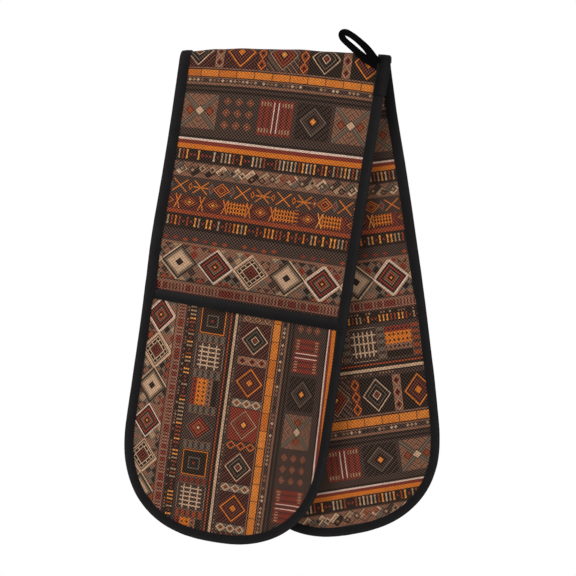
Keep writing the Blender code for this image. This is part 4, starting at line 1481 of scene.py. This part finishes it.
def make_join(tape, loop_tape, thread):
    """The edge tape's lapped end with its stitches, and the hanging loop that comes out from under it."""
    follows_fold(join_tab(tape), "binding_tape", "binding_join_tab")
    length = TAB_LAST_RUN - STITCH_INSET - TAB_FIRST_RUN + TAB_DEPTH - 2 * STITCH_INSET
    count = int(length / STITCH_PITCH)
    row = stitch_row("binding_join_stitches", count, length / count, tab_spot, thread)
    follows_fold(row, "thread", "tab_stitching")
    loop = hanging_loop(loop_tape)
    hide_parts("hanging_loop", "upper_loop_end", "lower_loop_end")
    hinge = next(joint for joint in frame["joints"] if joint["name"] == "loop_swing")
    outward = Vector(hinge["axis"]).cross(Vector((0, 1, 0))).normalized()
    outward *= -1 if outward.x > 0 else 1
    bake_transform(loop)


def make_glove():
    """Every piece of the glove, with its finish."""
    canvas = printed_canvas("printed canvas")
    seam = STITCH_INSET / MILLIMETRE
    tape = bias_tape("black bias tape", TAPE_BLACK, roughness=0.78, shine=0.08, seam=seam)
    # The join tab's tape: the same black, less shiny, with painted shade towards its top.
    join_tape = bias_tape(
        "black join tape", TAPE_BLACK, roughness=0.80, shine=0.02, seam=seam,
        painted_top_shade=TAB_PAINTED_SHADE_REACH / MILLIMETRE,
    )
    loop_tape = bias_tape("black loop tape", LOOP_BLACK, roughness=0.80, shine=0.0)
    thread, fill = twisted_thread(), cotton_wadding()
    edge = make_strip(canvas, tape, thread, fill)
    make_pocket("front", 1, canvas, tape, thread, fill)
    make_pocket("back", -1, canvas, tape, thread, fill)
    make_join(join_tape, loop_tape, thread)


# The studio: soft round lamps by name, place, size and power, and a pale floor well below the glove.
VIEW_MIDDLE = (0, 0, VIEW_HEIGHT)
LAMPS = (
    ("front lamp", (-0.95, -1.50, 0.55), 1.2, 20),
    ("right lamp", (1.6, -1.4, 0.1), 1.2, 3),
    ("back lamp", (0.5, 2.1, 0.4), 1.3, 16),
)
FLOOR_RADIUS, FLOOR_HEIGHT, FLOOR_CORNERS = 2.6, -1.1, 96
FLOOR_GREY, FLOOR_PALE, FLOOR_CLOUD = dye(236, 236, 234), dye(242, 242, 241), 6.0
WHITE = (1, 1, 1, 1)
SURROUND_LIGHT, SURROUND_SEEN = 0.48, 1.0


def area_lamp(name, where, size, power):
    """A round soft lamp that looks at the middle of the view."""
    light = bpy.data.lights.new(name, "AREA")
    light.shape = "DISK"
    light.size = size
    light.energy = power
    lamp = bpy.data.objects.new(name, light)
    lamp.location = where
    lamp.rotation_euler = (Vector(VIEW_MIDDLE) - Vector(where)).to_track_quat("-Z", "Y").to_euler()
    bpy.context.scene.collection.objects.link(lamp)


def photo_camera(scene):
    """The camera at the photograph's place."""
    lens = bpy.data.cameras.new("photo view")
    lens.sensor_width = SENSOR
    lens.lens = SENSOR * VIEW_DISTANCE / VIEW_SPAN
    camera = bpy.data.objects.new("photo view", lens)
    camera.location = (VIEW_ACROSS, -VIEW_DISTANCE, VIEW_HEIGHT)
    camera.rotation_euler = (pi / 2, VIEW_ROLL, 0)
    scene.collection.objects.link(camera)
    scene.camera = camera


def pale_floor(scene):
    """A round floor, which isn't part of the object."""
    floor = bpy.data.meshes.new("floor")
    turns = np.linspace(0, 2 * pi, FLOOR_CORNERS, endpoint=False)
    corners = [(FLOOR_RADIUS * cos(turn), FLOOR_RADIUS * sin(turn), FLOOR_HEIGHT) for turn in turns]
    floor.from_pydata(corners, [], [list(range(FLOOR_CORNERS))])
    paint = Finish("pale floor", Roughness=0.9, Specular_IOR_Level=0.1)
    shade = paint.painted(FLOOR_GREY, paint.cloud(paint.object_place(), FLOOR_CLOUD), FLOOR_PALE)
    paint.feed(paint.shader, {"Base Color": shade})
    floor.materials.append(paint.material)
    ground = bpy.data.objects.new("floor", floor)
    scene.collection.objects.link(ground)


def white_surround(scene):
    """A world that lights the glove at a plain level, and is white where it is seen or mirrored."""
    world = bpy.data.worlds.new("white surround")
    scene.world = world
    tree = Tree(world)
    lit = tree.nodes["Background"]
    tree.feed(lit, {"Color": WHITE, "Strength": SURROUND_LIGHT})
    seen = tree.node("ShaderNodeBackground", {}, {"Color": WHITE, "Strength": SURROUND_SEEN})
    rays = ("Is Camera Ray", "Is Glossy Ray", "Is Transmission Ray")
    camera, glossy, through = tree.node("ShaderNodeLightPath", {}, {}, rays)
    shares = {0: camera.most(glossy).most(through), 1: Amount(tree, lit.outputs[0]), 2: seen}
    mix = tree.node("ShaderNodeMixShader", {}, shares)
    tree.feed(tree.nodes["World Output"], {"Surface": mix})


def stage():
    """Camera, soft lamps, a pale floor and a white surround."""
    scene = bpy.context.scene
    photo_camera(scene)
    for lamp in LAMPS:
        area_lamp(*lamp)
    pale_floor(scene)
    white_surround(scene)
    scene.view_settings.view_transform = "Standard"


make_glove()
stage()
